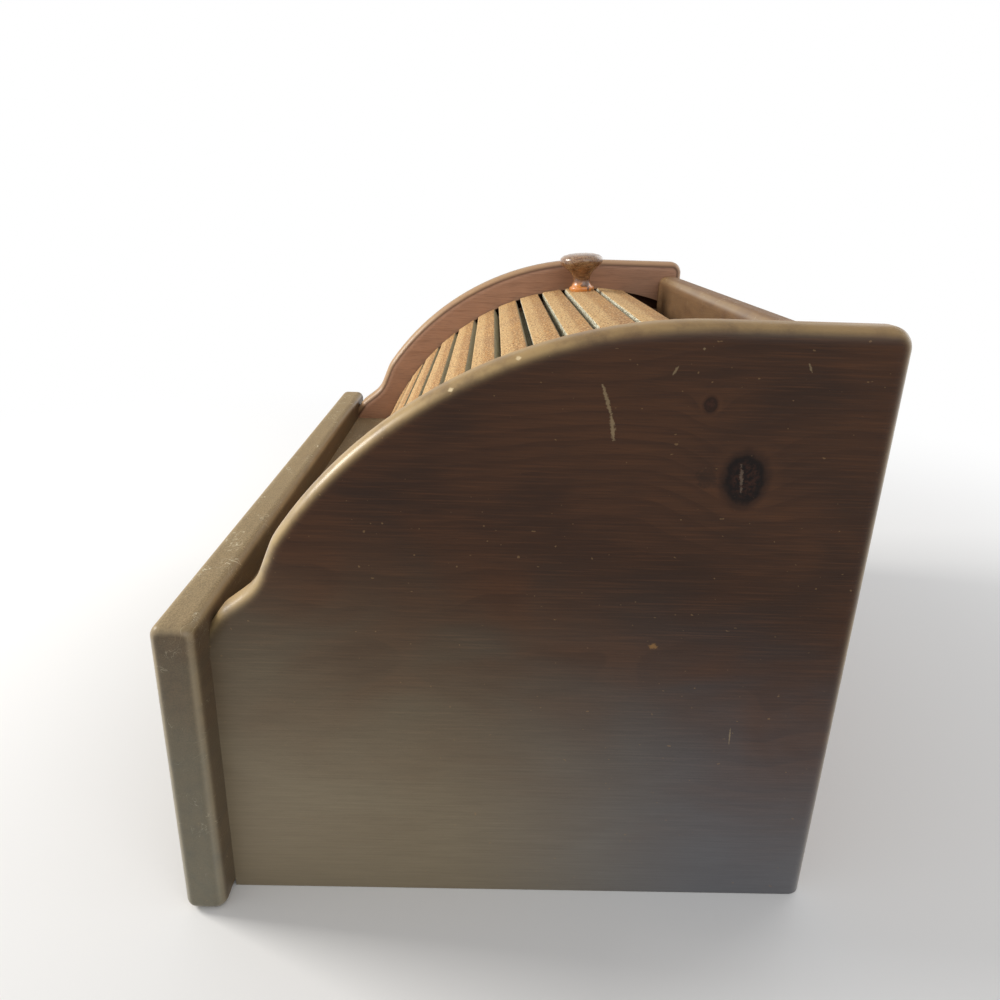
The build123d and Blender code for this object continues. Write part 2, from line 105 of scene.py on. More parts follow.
class Signal:
    """A shader socket whose arithmetic adds Math nodes to its recipe."""

    def __init__(self, recipe: "Recipe", socket: bpy.types.NodeSocket) -> None:
        self.recipe = recipe
        self.socket = socket

    def _math(self, operation: str, *values: "Signal | float") -> "Signal":
        """One Math node of the recipe.

        Args:
            operation: The node's operation.
            values: Its inputs in order.

        Returns:
            The node's result.
        """
        return self.recipe.node("ShaderNodeMath", {"operation": operation}, dict(enumerate(values)))

    def __add__(self, other: "Signal | float") -> "Signal":
        """Sum."""
        return self._math("ADD", self, other)

    __radd__ = __add__

    def __sub__(self, other: "Signal | float") -> "Signal":
        """Difference."""
        return self._math("SUBTRACT", self, other)

    def __rsub__(self, other: "Signal | float") -> "Signal":
        """Difference from a number."""
        return self._math("SUBTRACT", other, self)

    def __mul__(self, other: "Signal | float") -> "Signal":
        """Product."""
        return self._math("MULTIPLY", self, other)

    __rmul__ = __mul__

    def __truediv__(self, other: "Signal | float") -> "Signal":
        """Quotient."""
        return self._math("DIVIDE", self, other)

    def __rtruediv__(self, other: "Signal | float") -> "Signal":
        """A number divided by this."""
        return self._math("DIVIDE", other, self)

    def __abs__(self) -> "Signal":
        """Size without sign."""
        return self._math("ABSOLUTE", self)

    def root(self) -> "Signal":
        """Square root."""
        return self._math("SQRT", self)

    def decay(self) -> "Signal":
        """One at zero, falling off as exp(-v)."""
        return self._math("EXPONENT", self * -1.0)

    def bell(self, width: float) -> "Signal":
        """One at zero, falling off on both sides within a width."""
        share = self / width
        return (share * share).decay()

    def fraction(self) -> "Signal":
        """Part after the point."""
        return self._math("FRACT", self)

    def at_most(self, other: "Signal | float") -> "Signal":
        """The smaller of two."""
        return self._math("MINIMUM", self, other)

    def at_least(self, other: "Signal | float") -> "Signal":
        """The larger of two."""
        return self._math("MAXIMUM", self, other)

    def step(self, low: float, high: float) -> "Signal":
        """Smooth step.

        Args:
            low: Value that gives 0.
            high: Value that gives 1; it may be below low, and the step then falls.

        Returns:
            From 0 to 1.
        """
        return self.recipe.node(
            "ShaderNodeMapRange",
            {"interpolation_type": "SMOOTHSTEP"},
            {"Value": self, "From Min": low, "From Max": high, "To Min": 0.0, "To Max": 1.0},
        )


class Recipe:
    """The node tree of one finish, light or ground, built from short calls."""

    def __init__(self, owner: bpy.types.Material | bpy.types.World) -> None:
        owner.use_nodes = True
        self.tree = owner.node_tree
        self.tree.nodes.clear()

    def node(
        self,
        kind: str,
        settings: dict[str, object] | None = None,
        inputs: dict[str | int, object] | None = None,
        output: str | int = 0,
    ) -> Signal | None:
        """Add one node.

        Args:
            kind: The node's type.
            settings: Its own properties, which are set first.
            inputs: Values or signals by the name or number of their socket.
            output: The socket that is wanted.

        Returns:
            The wanted socket, or None for a node without outputs.
        """
        made = self.tree.nodes.new(kind)
        for name, value in (settings or {}).items():
            setattr(made, name, value)
        for name, value in (inputs or {}).items():
            socket = made.inputs[name]
            if isinstance(value, Signal):
                self.tree.links.new(value.socket, socket)
            else:
                socket.default_value = value
        return Signal(self, made.outputs[output]) if made.outputs else None

    def split(self, vector: Signal) -> tuple[Signal, Signal, Signal]:
        """The three parts of a vector."""
        parts = self.node("ShaderNodeSeparateXYZ", inputs={"Vector": vector})
        sockets = parts.socket.node.outputs
        return (Signal(self, sockets[0]), Signal(self, sockets[1]), Signal(self, sockets[2]))

    def join(self, x: Signal | float, y: Signal | float, z: Signal | float) -> Signal:
        """A vector of three parts."""
        return self.node("ShaderNodeCombineXYZ", inputs={"X": x, "Y": y, "Z": z})

    def place(self) -> tuple[Signal, Signal, Signal]:
        """The point's place on the object, in millimetres."""
        spot = self.node("ShaderNodeTexCoord", output="Object")
        scaled = self.node("ShaderNodeVectorMath", {"operation": "SCALE"}, {0: spot, "Scale": PER_METRE})
        return self.split(scaled)

    def facing(self) -> tuple[Signal, Signal, Signal]:
        """The surface's direction in the object's own axes."""
        return self.split(self.node("ShaderNodeTexCoord", output="Normal"))

    def noise(self, x: Signal | float, y: Signal | float, z: Signal | float, detail: float,
              roughness: float, bend: float) -> Signal:
        """Soft noise from 0 to 1 whose grains are about one unit wide.

        Args:
            x: First part of the place, scaled to the grain's size.
            y: Second part.
            z: Third part.
            detail: Octaves.
            roughness: Weight of the finer octaves.
            bend: Distortion.

        Returns:
            The noise.
        """
        return self.node(
            "ShaderNodeTexNoise",
            {"noise_dimensions": "3D"},
            {"Vector": self.join(x, y, z), "Scale": 1.0, "Detail": detail, "Roughness": roughness,
             "Distortion": bend},
        )

    def mix(self, share: Signal | float, below: Signal | Tone, above: Signal | Tone) -> Signal:
        """Blend two colours.

        Args:
            share: How much of the upper colour shows, 0 to 1.
            below: Lower colour.
            above: Upper colour.

        Returns:
            The colour.
        """
        first, second = (c.linear() if isinstance(c, Tone) else c for c in (below, above))
        return self.node(
            "ShaderNodeMix",
            {"data_type": "RGBA", "blend_type": "MIX", "clamp_factor": True},
            {0: share, 6: first, 7: second},
            output=2,
        )

    def bump(self, height: Signal, depth: float, strength: float) -> Signal:
        """Relief from a height of 0 to 1.

        Args:
            height: The height.
            depth: What a height of 1 stands for, in metres.
            strength: Strength of the relief.

        Returns:
            The normal.
        """
        values = {"Strength": strength, "Distance": depth, "Height": height}
        return self.node("ShaderNodeBump", inputs=values)

    def surface(self, **inputs: Signal | float | tuple) -> None:
        """Close the recipe with a Principled surface.

        Args:
            inputs: Its sockets, with underscores for spaces.
        """
        named = {name.replace("_", " "): value for name, value in inputs.items()}
        shader = self.node("ShaderNodeBsdfPrincipled", inputs=named)
        self.node("ShaderNodeOutputMaterial", inputs={"Surface": shader})


def new_recipe(name: str) -> tuple[bpy.types.Material, Recipe]:
    """A new material and its recipe."""
    material = bpy.data.materials.new(name)
    return material, Recipe(material)


# ---------------------------------------------------------------- finishes
Place = tuple[Signal, Signal, Signal]


@dataclass(frozen=True)
class Noise:
    """A soft pattern: how often it changes per millimetre each way, and how rough it is."""

    along: float
    across: float
    deep: float = 0.0
    octaves: float = 1.0
    roughness: float = 0.5
    bend: float = 0.0

    def over(self, recipe: Recipe, place: Place, shift: float = 0.0) -> Signal:
        """Spread the pattern over a piece.

        Args:
            recipe: Recipe that gets the nodes.
            place: Place along the grain, across it and through the piece, in millimetres.
            shift: Another number gives another cut of the same pattern.

        Returns:
            From 0 to 1.
        """
        along, across, deep = place
        depth = deep * self.deep + shift if self.deep else shift
        return recipe.noise(
            along * self.along, across * self.across, depth, self.octaves, self.roughness, self.bend
        )


@dataclass(frozen=True)
class Band:
    """A smooth rise from one value to another, and how much it counts."""

    low: float
    high: float                         # may be below low, and the rise is then a fall
    weight: float = 1.0

    def of(self, signal: Signal) -> Signal:
        """From 0 on the low side of the band to its weight on the high side."""
        share = signal.step(self.low, self.high)
        return share if self.weight == 1.0 else share * self.weight


class Grain(Enum):
    """How a board lies: the axes along the grain, across its face and through its thickness."""

    UPRIGHT_SIDE = (1, 2, 0)
    UPRIGHT_FRONT = (0, 2, 1)
    FLAT = (0, 1, 2)


@dataclass(frozen=True)
class Knot:
    """A branch that a board's face cuts across, in millimetres along and across the grain."""

    along: float
    across: float
    half_length: float
    half_width: float
    swirl: float = 9.0                  # how far it pushes the rings aside
    strength: float = 1.0               # how dark it is

    def squared(self, along: Signal, across: Signal, spread: float = 1.0) -> Signal:
        """Square of the distance from the middle, where 1 is the knot's rim.

        Args:
            along: Place along the grain.
            across: Place across it.
            spread: Times the knot's own size.

        Returns:
            The square.
        """
        run = (along - self.along) / (self.half_length * spread)
        rise = (across - self.across) / (self.half_width * spread)
        return run * run + rise * rise


@dataclass(frozen=True)
class Mark:
    """A scratch, dent or chip that runs from one point of a face to another, in millimetres."""

    start: tuple[float, float]
    end: tuple[float, float]
    half_width: float
    tone: Tone
    strength: float = 1.0
    ragged: float = 0.6                 # how much of it is broken up
    crumbs: Noise = Noise(0.75, 0.75, 0.0, 4.0, 0.75)
    crumb_cut: float = 3.0              # which cut of the crumbs' pattern is used
    crumb_reach: float = 5.0            # how far the crumbs stray, in half widths
    taper: float = 0.5                  # how much it narrows towards its ends
    border: Band = Band(1.05, 0.35)

    def mask(self, recipe: Recipe, place: Place) -> Signal:
        """Where the mark is.

        Args:
            recipe: Recipe that gets the nodes.
            place: Place along the grain, across it and through the board.

        Returns:
            From 0 to 1.
        """
        along, across, _ = place
        run = self.end[0] - self.start[0]
        rise = self.end[1] - self.start[1]
        length = max(math.hypot(run, rise), MM)
        share = ((along - self.start[0]) * run + (across - self.start[1]) * rise) / length**2
        share = share.at_least(0.0).at_most(1.0)
        off_along = along - self.start[0] - share * run
        off_across = across - self.start[1] - share * rise
        broken = self.crumbs.over(recipe, place, self.crumb_cut) - HALF
        from_middle = abs(share * 2.0 - 1.0)
        away = (off_along * off_along + off_across * off_across).root() / self.half_width
        away = away + from_middle * from_middle * self.taper + broken * (self.crumb_reach * self.ragged)
        return self.border.of(away) * self.strength


@dataclass(frozen=True)
class StainedPine:
    """Walnut-stained pine under an old satin varnish."""

    grain: Grain
    seed: float
    pith: tuple[float, float]           # the tree's centre, across the face and through the board
    ring: float = 5.2                   # width of a year's ring
    figure: float = 0.34                # how clearly the rings show
    gleam: float = 0.85                 # varnish left on the rounded edges
    knots: tuple[Knot, ...] = ()
    marks: tuple[Mark, ...] = ()
    dust: float = 0.35                  # how much lies on what faces up
    wear_and_highlight: float = 0.6                   # how pale the rounded edges are rubbed, with a painted highlight
    redness: float = 0.0                # how much of the red undertone shows
    painted_reflection: float = 0.0                   # painted reflection, stronger towards the front's foot
    painted_sunlight: float = 0.0                    # how strong the painted sunlight is on the faces inside the box
    dust_and_painted_light: float = 0.0                   # dust that sticks to upright faces too, also standing in for painted light there
    lint: float = 0.0                   # how clearly stray fibres show in the dust

    deep: Tone = Tone(50, 33, 23)
    body: Tone = Tone(71, 45, 28)
    warm: Tone = Tone(98, 62, 38)
    red: Tone = Tone(122, 74, 54)
    late: Tone = Tone(40, 26, 20)
    # pale rubbed wood on the roundings, also their painted highlight
    rubbed: Tone = Tone(186, 158, 106)
    dusty: Tone = Tone(166, 146, 112)
    # painted reflection: warm grey towards the front, bluish towards the back
    reflection_warm: Tone = Tone(138, 126, 104)
    reflection_cool: Tone = Tone(112, 114, 118)
    # painted sunlight on the faces inside the box
    sunlit_inside: Tone = Tone(184, 142, 116)
    core: Tone = Tone(20, 12, 10)
    heart: Tone = Tone(64, 38, 28)
    hair: Tone = Tone(226, 216, 188)

    drift: Noise = Noise(0.007, 0.014)          # slow sway of the rings across the board
    drift_reach: float = 34.0
    twist: Noise = Noise(0.03, 0.03)            # quicker sway through the board
    twist_shift: float = 7.0
    twist_reach: float = 7.0
    swirl_spread: float = 2.4                   # how far out a knot bends the rings, in its own sizes
    late_start: Band = Band(0.35, 0.88)
    late_end: Band = Band(1.0, 0.93)

    fibres: Noise = Noise(0.035, 1.15, 1.15, 3.0, 0.62)
    warm_fibres: Band = Band(0.45, 0.80, 0.34)
    dark_fibres: Band = Band(0.50, 0.24, 0.26)
    flecks: Noise = Noise(0.10, 3.4, 3.4)
    fleck_edge: Band = Band(0.60, 0.72)
    fleck_share: float = 0.30
    blotches: Noise = Noise(0.013, 0.022, 0.02, 2.0, 0.55, 0.6)
    body_share: Band = Band(0.30, 0.68)
    ring_share: Band = Band(0.25, 0.75)
    face_edge: Band = Band(0.9, 0.1)            # millimetres past a panel's inner face
    round_edge: Band = Band(10.0, 6.0)          # the same where the edge is rounded

    knot_wobble: Noise = Noise(0.22, 0.22, 0.0, 2.0)
    wobble_reach: float = 0.8
    knot_spokes: Noise = Noise(0.5, 0.5, 0.0, 3.0, 0.7)
    spoke_shift: float = 3.0
    spoke_edge: Band = Band(0.40, 0.62)
    halo: Band = Band(4.2, 1.2, 0.14)
    collar: Band = Band(2.0, 0.95, 0.70)
    knot_core: Band = Band(1.15, 0.65)
    knot_heart: Band = Band(0.8, 0.1)
    heart_share: float = 0.6
    knot_sink: Band = Band(1.1, 0.7, 0.5)
    knot_dull: Band = Band(0.8, 2.0)

    side_rounding: Band = Band(0.997, 0.62)     # of the face's direction, on a side panel
    board_rounding: Band = Band(0.985, 0.80)    # and on any other board
    patches: Noise = Noise(0.05, 0.05, 0.05, 4.0, 0.66)
    patch_edge: Band = Band(0.28, 0.60, 0.65)
    patch_floor: float = 0.35
    front_light: Band = Band(0.05, -0.60, 0.48)     # painted sunlight: what faces the front is paler
    front_light_floor: float = 0.52

    reflection_lean: float = 0.22                     # how far the painted reflection's border leans to the front
    reflection_sway: float = 60.0
    reflection_height: Band = Band(180.0, -10.0)
    reflection_cool_side: Band = Band(-40.0, 110.0)
    reflection_side: Band = Band(0.1, 0.9, 0.6)
    reflection_floor: float = 0.4
    reflection_fibres: float = 0.36
    reflection_base: float = 0.82

    motes: Noise = Noise(0.42, 0.55, 0.55)
    mote_edge: Band = Band(0.755, 0.800, 0.30)
    streaks: Noise = Noise(0.045, 0.14, 0.14, 4.0, 0.62)
    streak_edge: Band = Band(0.34, 0.66, 0.2)
    streak_floor: float = 0.8
    settled_edge: Band = Band(-0.10, 0.50)
    grit: Noise = Noise(1.1, 1.6, 1.6, 2.0, 0.7)
    grit_edge: Band = Band(0.35, 0.65, 0.38)
    grit_floor: float = 0.62
    upward: Band = Band(0.35, 0.95)
    hairs: Noise = Noise(0.13, 0.13, 0.13, 2.0, 0.4, 1.4)
    hair_width: float = 0.005
    tufts: Noise = Noise(0.06, 0.10, 0.10)
    tuft_shift: float = 5.0
    tuft_edge: Band = Band(0.54, 0.60)
    hair_floor: float = 0.25

    fibre_relief: float = 0.55
    fleck_relief: float = 0.35
    late_relief: float = 0.12
    mark_relief: float = 0.4
    grit_relief: float = 0.5
    relief: float = 0.22 * MM
    relief_share: float = 0.55
    specular: float = 0.14
    flat_coat: float = 0.05
    coat_loss: float = 0.8                      # of the coat, on what faces up
    coat_roughness: float = 0.3
    late_dull: float = 0.2                      # of the coat, on latewood
    fibre_rough: float = 0.14
    rubbed_rough: float = 0.10
    dust_rough: float = 0.5
    smooth: float = 0.30
    dullest: float = 0.92

    def _rings(self, recipe: Recipe, place: Place) -> Signal:
        """Latewood lines where the face cuts the tree's rings, bent round the knots."""
        along, across, deep = place
        drift = self.drift.over(recipe, place, self.seed) - HALF
        twist = self.twist.over(recipe, place, self.seed + self.twist_shift) - HALF
        off_across = across - self.pith[0] + drift * self.drift_reach
        off_deep = deep - self.pith[1] + twist * self.twist_reach
        radius = (off_across * off_across + off_deep * off_deep).root()
        for knot in self.knots:
            radius = radius + knot.squared(along, across, self.swirl_spread).decay() * knot.swirl
        year = (radius / self.ring).fraction()
        return self.late_start.of(year) * self.late_end.of(year)

    def _rounding(self, facing: Place) -> Signal:
        """Where an edge is rounded over: 0 on flats, 1 on a rounding or on a side panel's rim."""
        x, y, z = (abs(part) for part in facing)
        if self.grain is Grain.UPRIGHT_SIDE:
            return self.side_rounding.of(x)
        return self.board_rounding.of(x.at_least(y).at_least(z))

    def _paint_sunlight(self, recipe: Recipe, colour: Signal, side: Signal, rounding: Signal) -> Signal:
        """Paint sunlight on the faces inside the box, and the roundings that lean to them.

        Args:
            recipe: Recipe that gets the nodes.
            colour: The wood's colour so far.
            side: Place to the left or right of the middle.
            rounding: Where an edge is rounded over.

        Returns:
            The colour.
        """
        past = abs(side) - INNER_FACE
        inside = self.face_edge.of(past).at_least(rounding * self.round_edge.of(past))
        return recipe.mix(inside * self.painted_sunlight, colour, self.sunlit_inside)

    def _paint_reflection(self, recipe: Recipe, colour: Signal, spot: Place, side: Signal, blotch: Signal,
               fibre: Signal) -> Signal:
        """Paint a reflection over the colour, low down and towards the front.

        Args:
            recipe: Recipe that gets the nodes.
            colour: The wood's colour so far.
            spot: The point's place in the object's own axes.
            side: How far the face looks to a side.
            blotch: Large cloudy pattern.
            fibre: Fine pattern along the grain.

        Returns:
            The colour.
        """
        border = spot[2] + spot[1] * self.reflection_lean + (blotch - HALF) * self.reflection_sway
        reflection_tone = recipe.mix(self.reflection_cool_side.of(spot[1]), self.reflection_warm, self.reflection_cool)
        sideways = self.reflection_side.of(abs(side)) + self.reflection_floor
        streaky = fibre * self.reflection_fibres + self.reflection_base
        return recipe.mix(self.reflection_height.of(border) * sideways * self.painted_reflection * streaky, colour, reflection_tone)

    def _linted(self, recipe: Recipe, colour: Signal, place: Place, up: Signal) -> Signal:
        """Lay stray fibres in the dust.

        Args:
            recipe: Recipe that gets the nodes.
            colour: The wood's colour so far.
            place: Place along the grain, across it and through the board.
            up: How far the face looks up.

        Returns:
            The colour.
        """
        line = (self.hairs.over(recipe, place, self.seed) - HALF).bell(self.hair_width)
        tuft = self.tuft_edge.of(self.tufts.over(recipe, place, self.seed + self.tuft_shift))
        lying = up * (1.0 - self.hair_floor) + self.hair_floor
        return recipe.mix(line * tuft * lying * self.lint, colour, self.hair)

    def make(self, name: str) -> bpy.types.Material:
        """Build the material.

        Args:
            name: Its name.

        Returns:
            The material.
        """
        material, recipe = new_recipe(name)
        spot = recipe.place()
        facing = recipe.facing()
        place = tuple(spot[axis] for axis in self.grain.value)
        along, across, _ = place

        late = self._rings(recipe, place)
        fibre = self.fibres.over(recipe, place, self.seed)
        blotch = self.blotches.over(recipe, place, self.seed)
        dark_fleck = self.fleck_edge.of(self.flecks.over(recipe, place, self.seed))
        rounding = self._rounding(facing)

        colour = recipe.mix(self.body_share.of(blotch), self.deep, self.body)
        if self.redness:
            colour = recipe.mix(self.redness, colour, self.red)
        if self.painted_sunlight:
            colour = self._paint_sunlight(recipe, colour, spot[0], rounding)
        colour = recipe.mix(self.warm_fibres.of(fibre), colour, self.warm)
        colour = recipe.mix(self.dark_fibres.of(fibre), colour, self.late)
        colour = recipe.mix(late * self.ring_share.of(blotch) * self.figure, colour, self.late)
        colour = recipe.mix(dark_fleck * self.fleck_share, colour, self.late)
        height = fibre * self.fibre_relief - dark_fleck * self.fleck_relief + late * self.late_relief
        varnish = 1.0 - late * self.late_dull

        for knot in self.knots:
            wobble = self.knot_wobble.over(recipe, place, self.seed) - HALF
            rim = knot.squared(along, across) + wobble * self.wobble_reach
            spokes = self.knot_spokes.over(recipe, place, self.seed + self.spoke_shift)
            heart = self.knot_heart.of(rim) * self.spoke_edge.of(spokes) * self.heart_share
            colour = recipe.mix(self.halo.of(rim), colour, self.warm)
            colour = recipe.mix(self.collar.of(rim) * knot.strength, colour, self.late)
            colour = recipe.mix(self.knot_core.of(rim) * knot.strength, colour, self.core)
            colour = recipe.mix(heart, colour, self.heart)
            height = height - self.knot_sink.of(rim)
            varnish = varnish * self.knot_dull.of(rim)

        # roundings: rubbed pale wood with a painted highlight, paler still where they face the front as painted
        # sunlight
        patchy = self.patch_edge.of(self.patches.over(recipe, place, self.seed)) + self.patch_floor
        painted_front_light = self.front_light.of(facing[1]) + self.front_light_floor
        rubbed = rounding * patchy * painted_front_light * self.wear_and_highlight
        colour = recipe.mix(rubbed, colour, self.rubbed)
        if self.painted_reflection:
            colour = self._paint_reflection(recipe, colour, spot, facing[0], blotch, fibre)
        for mark in self.marks:
            spread = mark.mask(recipe, place)
            colour = recipe.mix(spread, colour, mark.tone)
            height = height - spread * self.mark_relief

        mote = self.mote_edge.of(self.motes.over(recipe, place, self.seed))
        colour = recipe.mix(mote, colour, self.dusty)
        streak = self.streaks.over(recipe, place, self.seed)
        grit = self.grit.over(recipe, place)
        up = self.upward.of(facing[2])
        lying = up * self.dust
        if self.dust_and_painted_light:
            lying = lying.at_least((self.streak_edge.of(streak) + self.streak_floor) * self.dust_and_painted_light)
        settled = lying * self.settled_edge.of(streak) * (self.grit_edge.of(grit) + self.grit_floor)
        colour = recipe.mix(settled, colour, self.dusty)
        if self.lint:
            colour = self._linted(recipe, colour, place, up)

        rough = fibre * self.fibre_rough + rubbed * self.rubbed_rough + settled * self.dust_rough
        height = height + grit * settled * self.grit_relief
        recipe.surface(
            Base_Color=colour,
            Roughness=(rough + self.smooth).at_most(self.dullest),
            Specular_IOR_Level=self.specular,
            Coat_Weight=(varnish * self.flat_coat + rounding * self.gleam) * (1.0 - up * self.coat_loss),
            Coat_Roughness=self.coat_roughness,
            Normal=recipe.bump(height, self.relief, self.relief_share),
        )
        return material


@dataclass(frozen=True)
class DustySlat:
    """Dry tan wood under a coat of dust, for pieces with a grain place and an edge distance."""

    body: Tone = Tone(158, 110, 68)
    gold: Tone = Tone(178, 124, 66)
    brown: Tone = Tone(98, 60, 32)
    fuzz: Tone = Tone(222, 190, 138)
    # side walls: painted sunlight on the one that faces the front, painted shade on the other
    wall: Tone = Tone(236, 234, 212)
    wall_dark: Tone = Tone(132, 122, 94)
    wall_shade: Tone = Tone(150, 138, 112)
    back: Tone = Tone(132, 98, 66)

    stripes: Noise = Noise(0.045, 0.60, 0.60, 3.0, 0.6)
    stripe_edge: Band = Band(0.54, 0.30, 0.22)
    specks: Noise = Noise(0.40, 0.68, 0.68)
    speck_edge: Band = Band(0.55, 0.38, 0.74)
    fluff: Noise = Noise(0.44, 0.74, 0.74)
    fluff_shift: float = 90.91                  # millimetres along the slat, to part it from the specks
    fluff_edge: Band = Band(0.52, 0.68, 0.66)
    grit: Noise = Noise(0.5, 0.9, 0.9)
    patches: Noise = Noise(0.020, 0.035, 0.035, 2.0, 0.55)
    gold_share: Band = Band(0.30, 0.70)
    curls: Noise = Noise(0.11, 0.11, 0.11, 2.0, 0.45, 1.5)
    curl_width: float = 0.012
    curl_patch: Band = Band(0.40, 0.52, 0.5)

    arris: Band = Band(1.9, 0.5)                # millimetres from a long edge
    arris_grit: Band = Band(0.32, 0.56)
    lower_side: Band = Band(2.0, -2.0, 0.6)     # the side that lies lower on the cover
    arris_floor: float = 0.35
    wall_edge: Band = Band(0.32, 0.18)
    wall_depth: Band = Band(-0.35, -0.75)
    wall_grit: Band = Band(0.56, 0.42, 0.85)
    shaded_side: Band = Band(-1.0, 1.0, 0.9)
    back_depth: Band = Band(-7.2, -8.6, 0.9)

    speck_relief: float = 0.55
    stripe_relief: float = 0.35
    grit_relief: float = 0.30
    grit_rough: float = 0.22
    relief: float = 0.35 * MM
    relief_share: float = 0.75
    specular: float = 0.25
    smooth: float = 0.74
    dullest: float = 0.95

    def _walled(self, recipe: Recipe, colour: Signal, place: Place, edge: Signal, grit: Signal) -> Signal:
        """Paint light and shade on the slat's long sides and brown its back.

        Args:
            recipe: Recipe that gets the nodes.
            colour: The face's colour.
            place: Place along the slat, across it and below its face.
            edge: Distance to a long edge.
            grit: Fine pattern.

        Returns:
            The colour.
        """
        _, y, z = place
        on_wall = self.wall_edge.of(edge) * self.wall_depth.of(z)
        lit = recipe.mix(self.wall_grit.of(grit), self.wall, self.wall_dark)
        wall_light_and_shade = recipe.mix(self.shaded_side.of(y), lit, self.wall_shade)
        colour = recipe.mix(on_wall, colour, wall_light_and_shade)
        return recipe.mix(self.back_depth.of(z), colour, self.back)

    def make(self, name: str) -> bpy.types.Material:
        """Build the material.

        Args:
            name: Its name.

        Returns:
            The material.
        """
        material, recipe = new_recipe(name)
        own = recipe.node("ShaderNodeAttribute", {"attribute_name": GRAIN_PLACE}, output="Vector")
        edge = recipe.node("ShaderNodeAttribute", {"attribute_name": EDGE_DISTANCE}, output="Fac")
        place = recipe.split(own)
        x, y, z = place

        stripe = self.stripes.over(recipe, place)
        speck = self.specks.over(recipe, place)
        fluff = self.fluff.over(recipe, (x + self.fluff_shift, y, z))
        grit = self.grit.over(recipe, place)
        patch = self.patches.over(recipe, place)
        curl = (self.curls.over(recipe, place) - HALF).bell(self.curl_width)

        colour = recipe.mix(self.gold_share.of(patch), self.body, self.gold)
        colour = recipe.mix(self.stripe_edge.of(stripe), colour, self.brown)
        colour = recipe.mix(self.speck_edge.of(speck), colour, self.brown)
        colour = recipe.mix(self.fluff_edge.of(fluff), colour, self.fuzz)
        colour = recipe.mix(curl * self.curl_patch.of(patch), colour, self.fuzz)
        rim = self.arris.of(edge) * self.arris_grit.of(grit) * (self.lower_side.of(y) + self.arris_floor)
        colour = recipe.mix(rim, colour, self.fuzz)
        colour = self._walled(recipe, colour, place, edge, grit)

        height = speck * self.speck_relief + stripe * self.stripe_relief + grit * self.grit_relief
        recipe.surface(
            Base_Color=colour,
            Roughness=(grit * self.grit_rough + self.smooth).at_most(self.dullest),
            Specular_IOR_Level=self.specular,
            Normal=recipe.bump(height, self.relief, self.relief_share),
        )
        return material


@dataclass(frozen=True)
class TurnedGloss:
    """Glossy brown turned wood, rubbed through to orange at the foot."""

    foot_height: float                  # top of the worn foot, in millimetres
    head_height: float                  # underside of the head
    deep: Tone = Tone(92, 60, 38)
    body: Tone = Tone(158, 112, 72)
    orange: Tone = Tone(228, 142, 56)
    bare: Tone = Tone(206, 168, 122)
    dull: Tone = Tone(176, 148, 110)

    fibres: Noise = Noise(1.1, 0.10, 1.1, 3.0, 0.6)
    body_share: Band = Band(0.28, 0.72)
    patches: Noise = Noise(0.16, 0.16, 0.16, 2.0)
    patch_edge: Band = Band(0.62, 0.30, 0.5)
    foot_patch: Band = Band(0.44, 0.52)
    foot_above: float = 2.5             # millimetres over which the worn foot ends
    foot_below: float = 2.0
    base_height: Band = Band(1.6, 0.4)
    base_nicks: Band = Band(0.46, 0.60, 0.8)
    crown_rise: float = 8.0             # millimetres over which the dull crown begins
    crown_nicks: Band = Band(0.42, 0.66)
    crown_share: float = 0.62
    lathe: Noise = Noise(0.0, 0.0, 2.6, 2.0, 0.6)
    nicks: Noise = Noise(0.55, 0.55, 0.55, 4.0, 0.72)
    rough_nicks: Band = Band(0.58, 0.7, 0.2)
    sunk_nicks: Band = Band(0.66, 0.74, 0.6)

    orange_floor: float = 0.6
    orange_fibres: float = 0.5
    lathe_relief: float = 0.5
    fibre_relief: float = 0.3
    crown_rough: float = 0.26
    rubbed_rough: float = 0.14
    relief: float = 0.12 * MM
    relief_share: float = 0.5
    specular: float = 0.5
    coat: float = 0.8
    coat_roughness: float = 0.22
    smooth: float = 0.26

    def make(self, name: str) -> bpy.types.Material:
        """Build the material.

        Args:
            name: Its name.

        Returns:
            The material.
        """
        material, recipe = new_recipe(name)
        own = recipe.node("ShaderNodeAttribute", {"attribute_name": GRAIN_PLACE}, output="Vector")
        place = recipe.split(own)
        z = place[2]
        fibre = self.fibres.over(recipe, place)
        patch = self.patches.over(recipe, place)
        lathe = self.lathe.over(recipe, place)
        nicks = self.nicks.over(recipe, place)

        colour = recipe.mix(self.body_share.of(fibre), self.deep, self.body)
        colour = recipe.mix(self.patch_edge.of(patch), colour, self.deep)
        foot = z.step(self.foot_height + self.foot_above, self.foot_height - self.foot_below)
        rubbed = foot * self.foot_patch.of(patch)
        bright = rubbed * (fibre * self.orange_fibres + self.orange_floor)
        colour = recipe.mix(bright, colour, self.orange)
        colour = recipe.mix(self.base_height.of(z) * self.base_nicks.of(nicks), colour, self.bare)
        crown = z.step(self.head_height, self.head_height + self.crown_rise) * self.crown_nicks.of(nicks)
        colour = recipe.mix(crown * self.crown_share, colour, self.dull)

        height = lathe * self.lathe_relief + fibre * self.fibre_relief - self.sunk_nicks.of(nicks)
        rough = crown * self.crown_rough + rubbed * self.rubbed_rough + self.rough_nicks.of(nicks)
        recipe.surface(
            Base_Color=colour,
            Roughness=rough + self.smooth,
            Specular_IOR_Level=self.specular,
            Coat_Weight=self.coat,
            Coat_Roughness=self.coat_roughness,
            Normal=recipe.bump(height, self.relief, self.relief_share),
        )
        return material


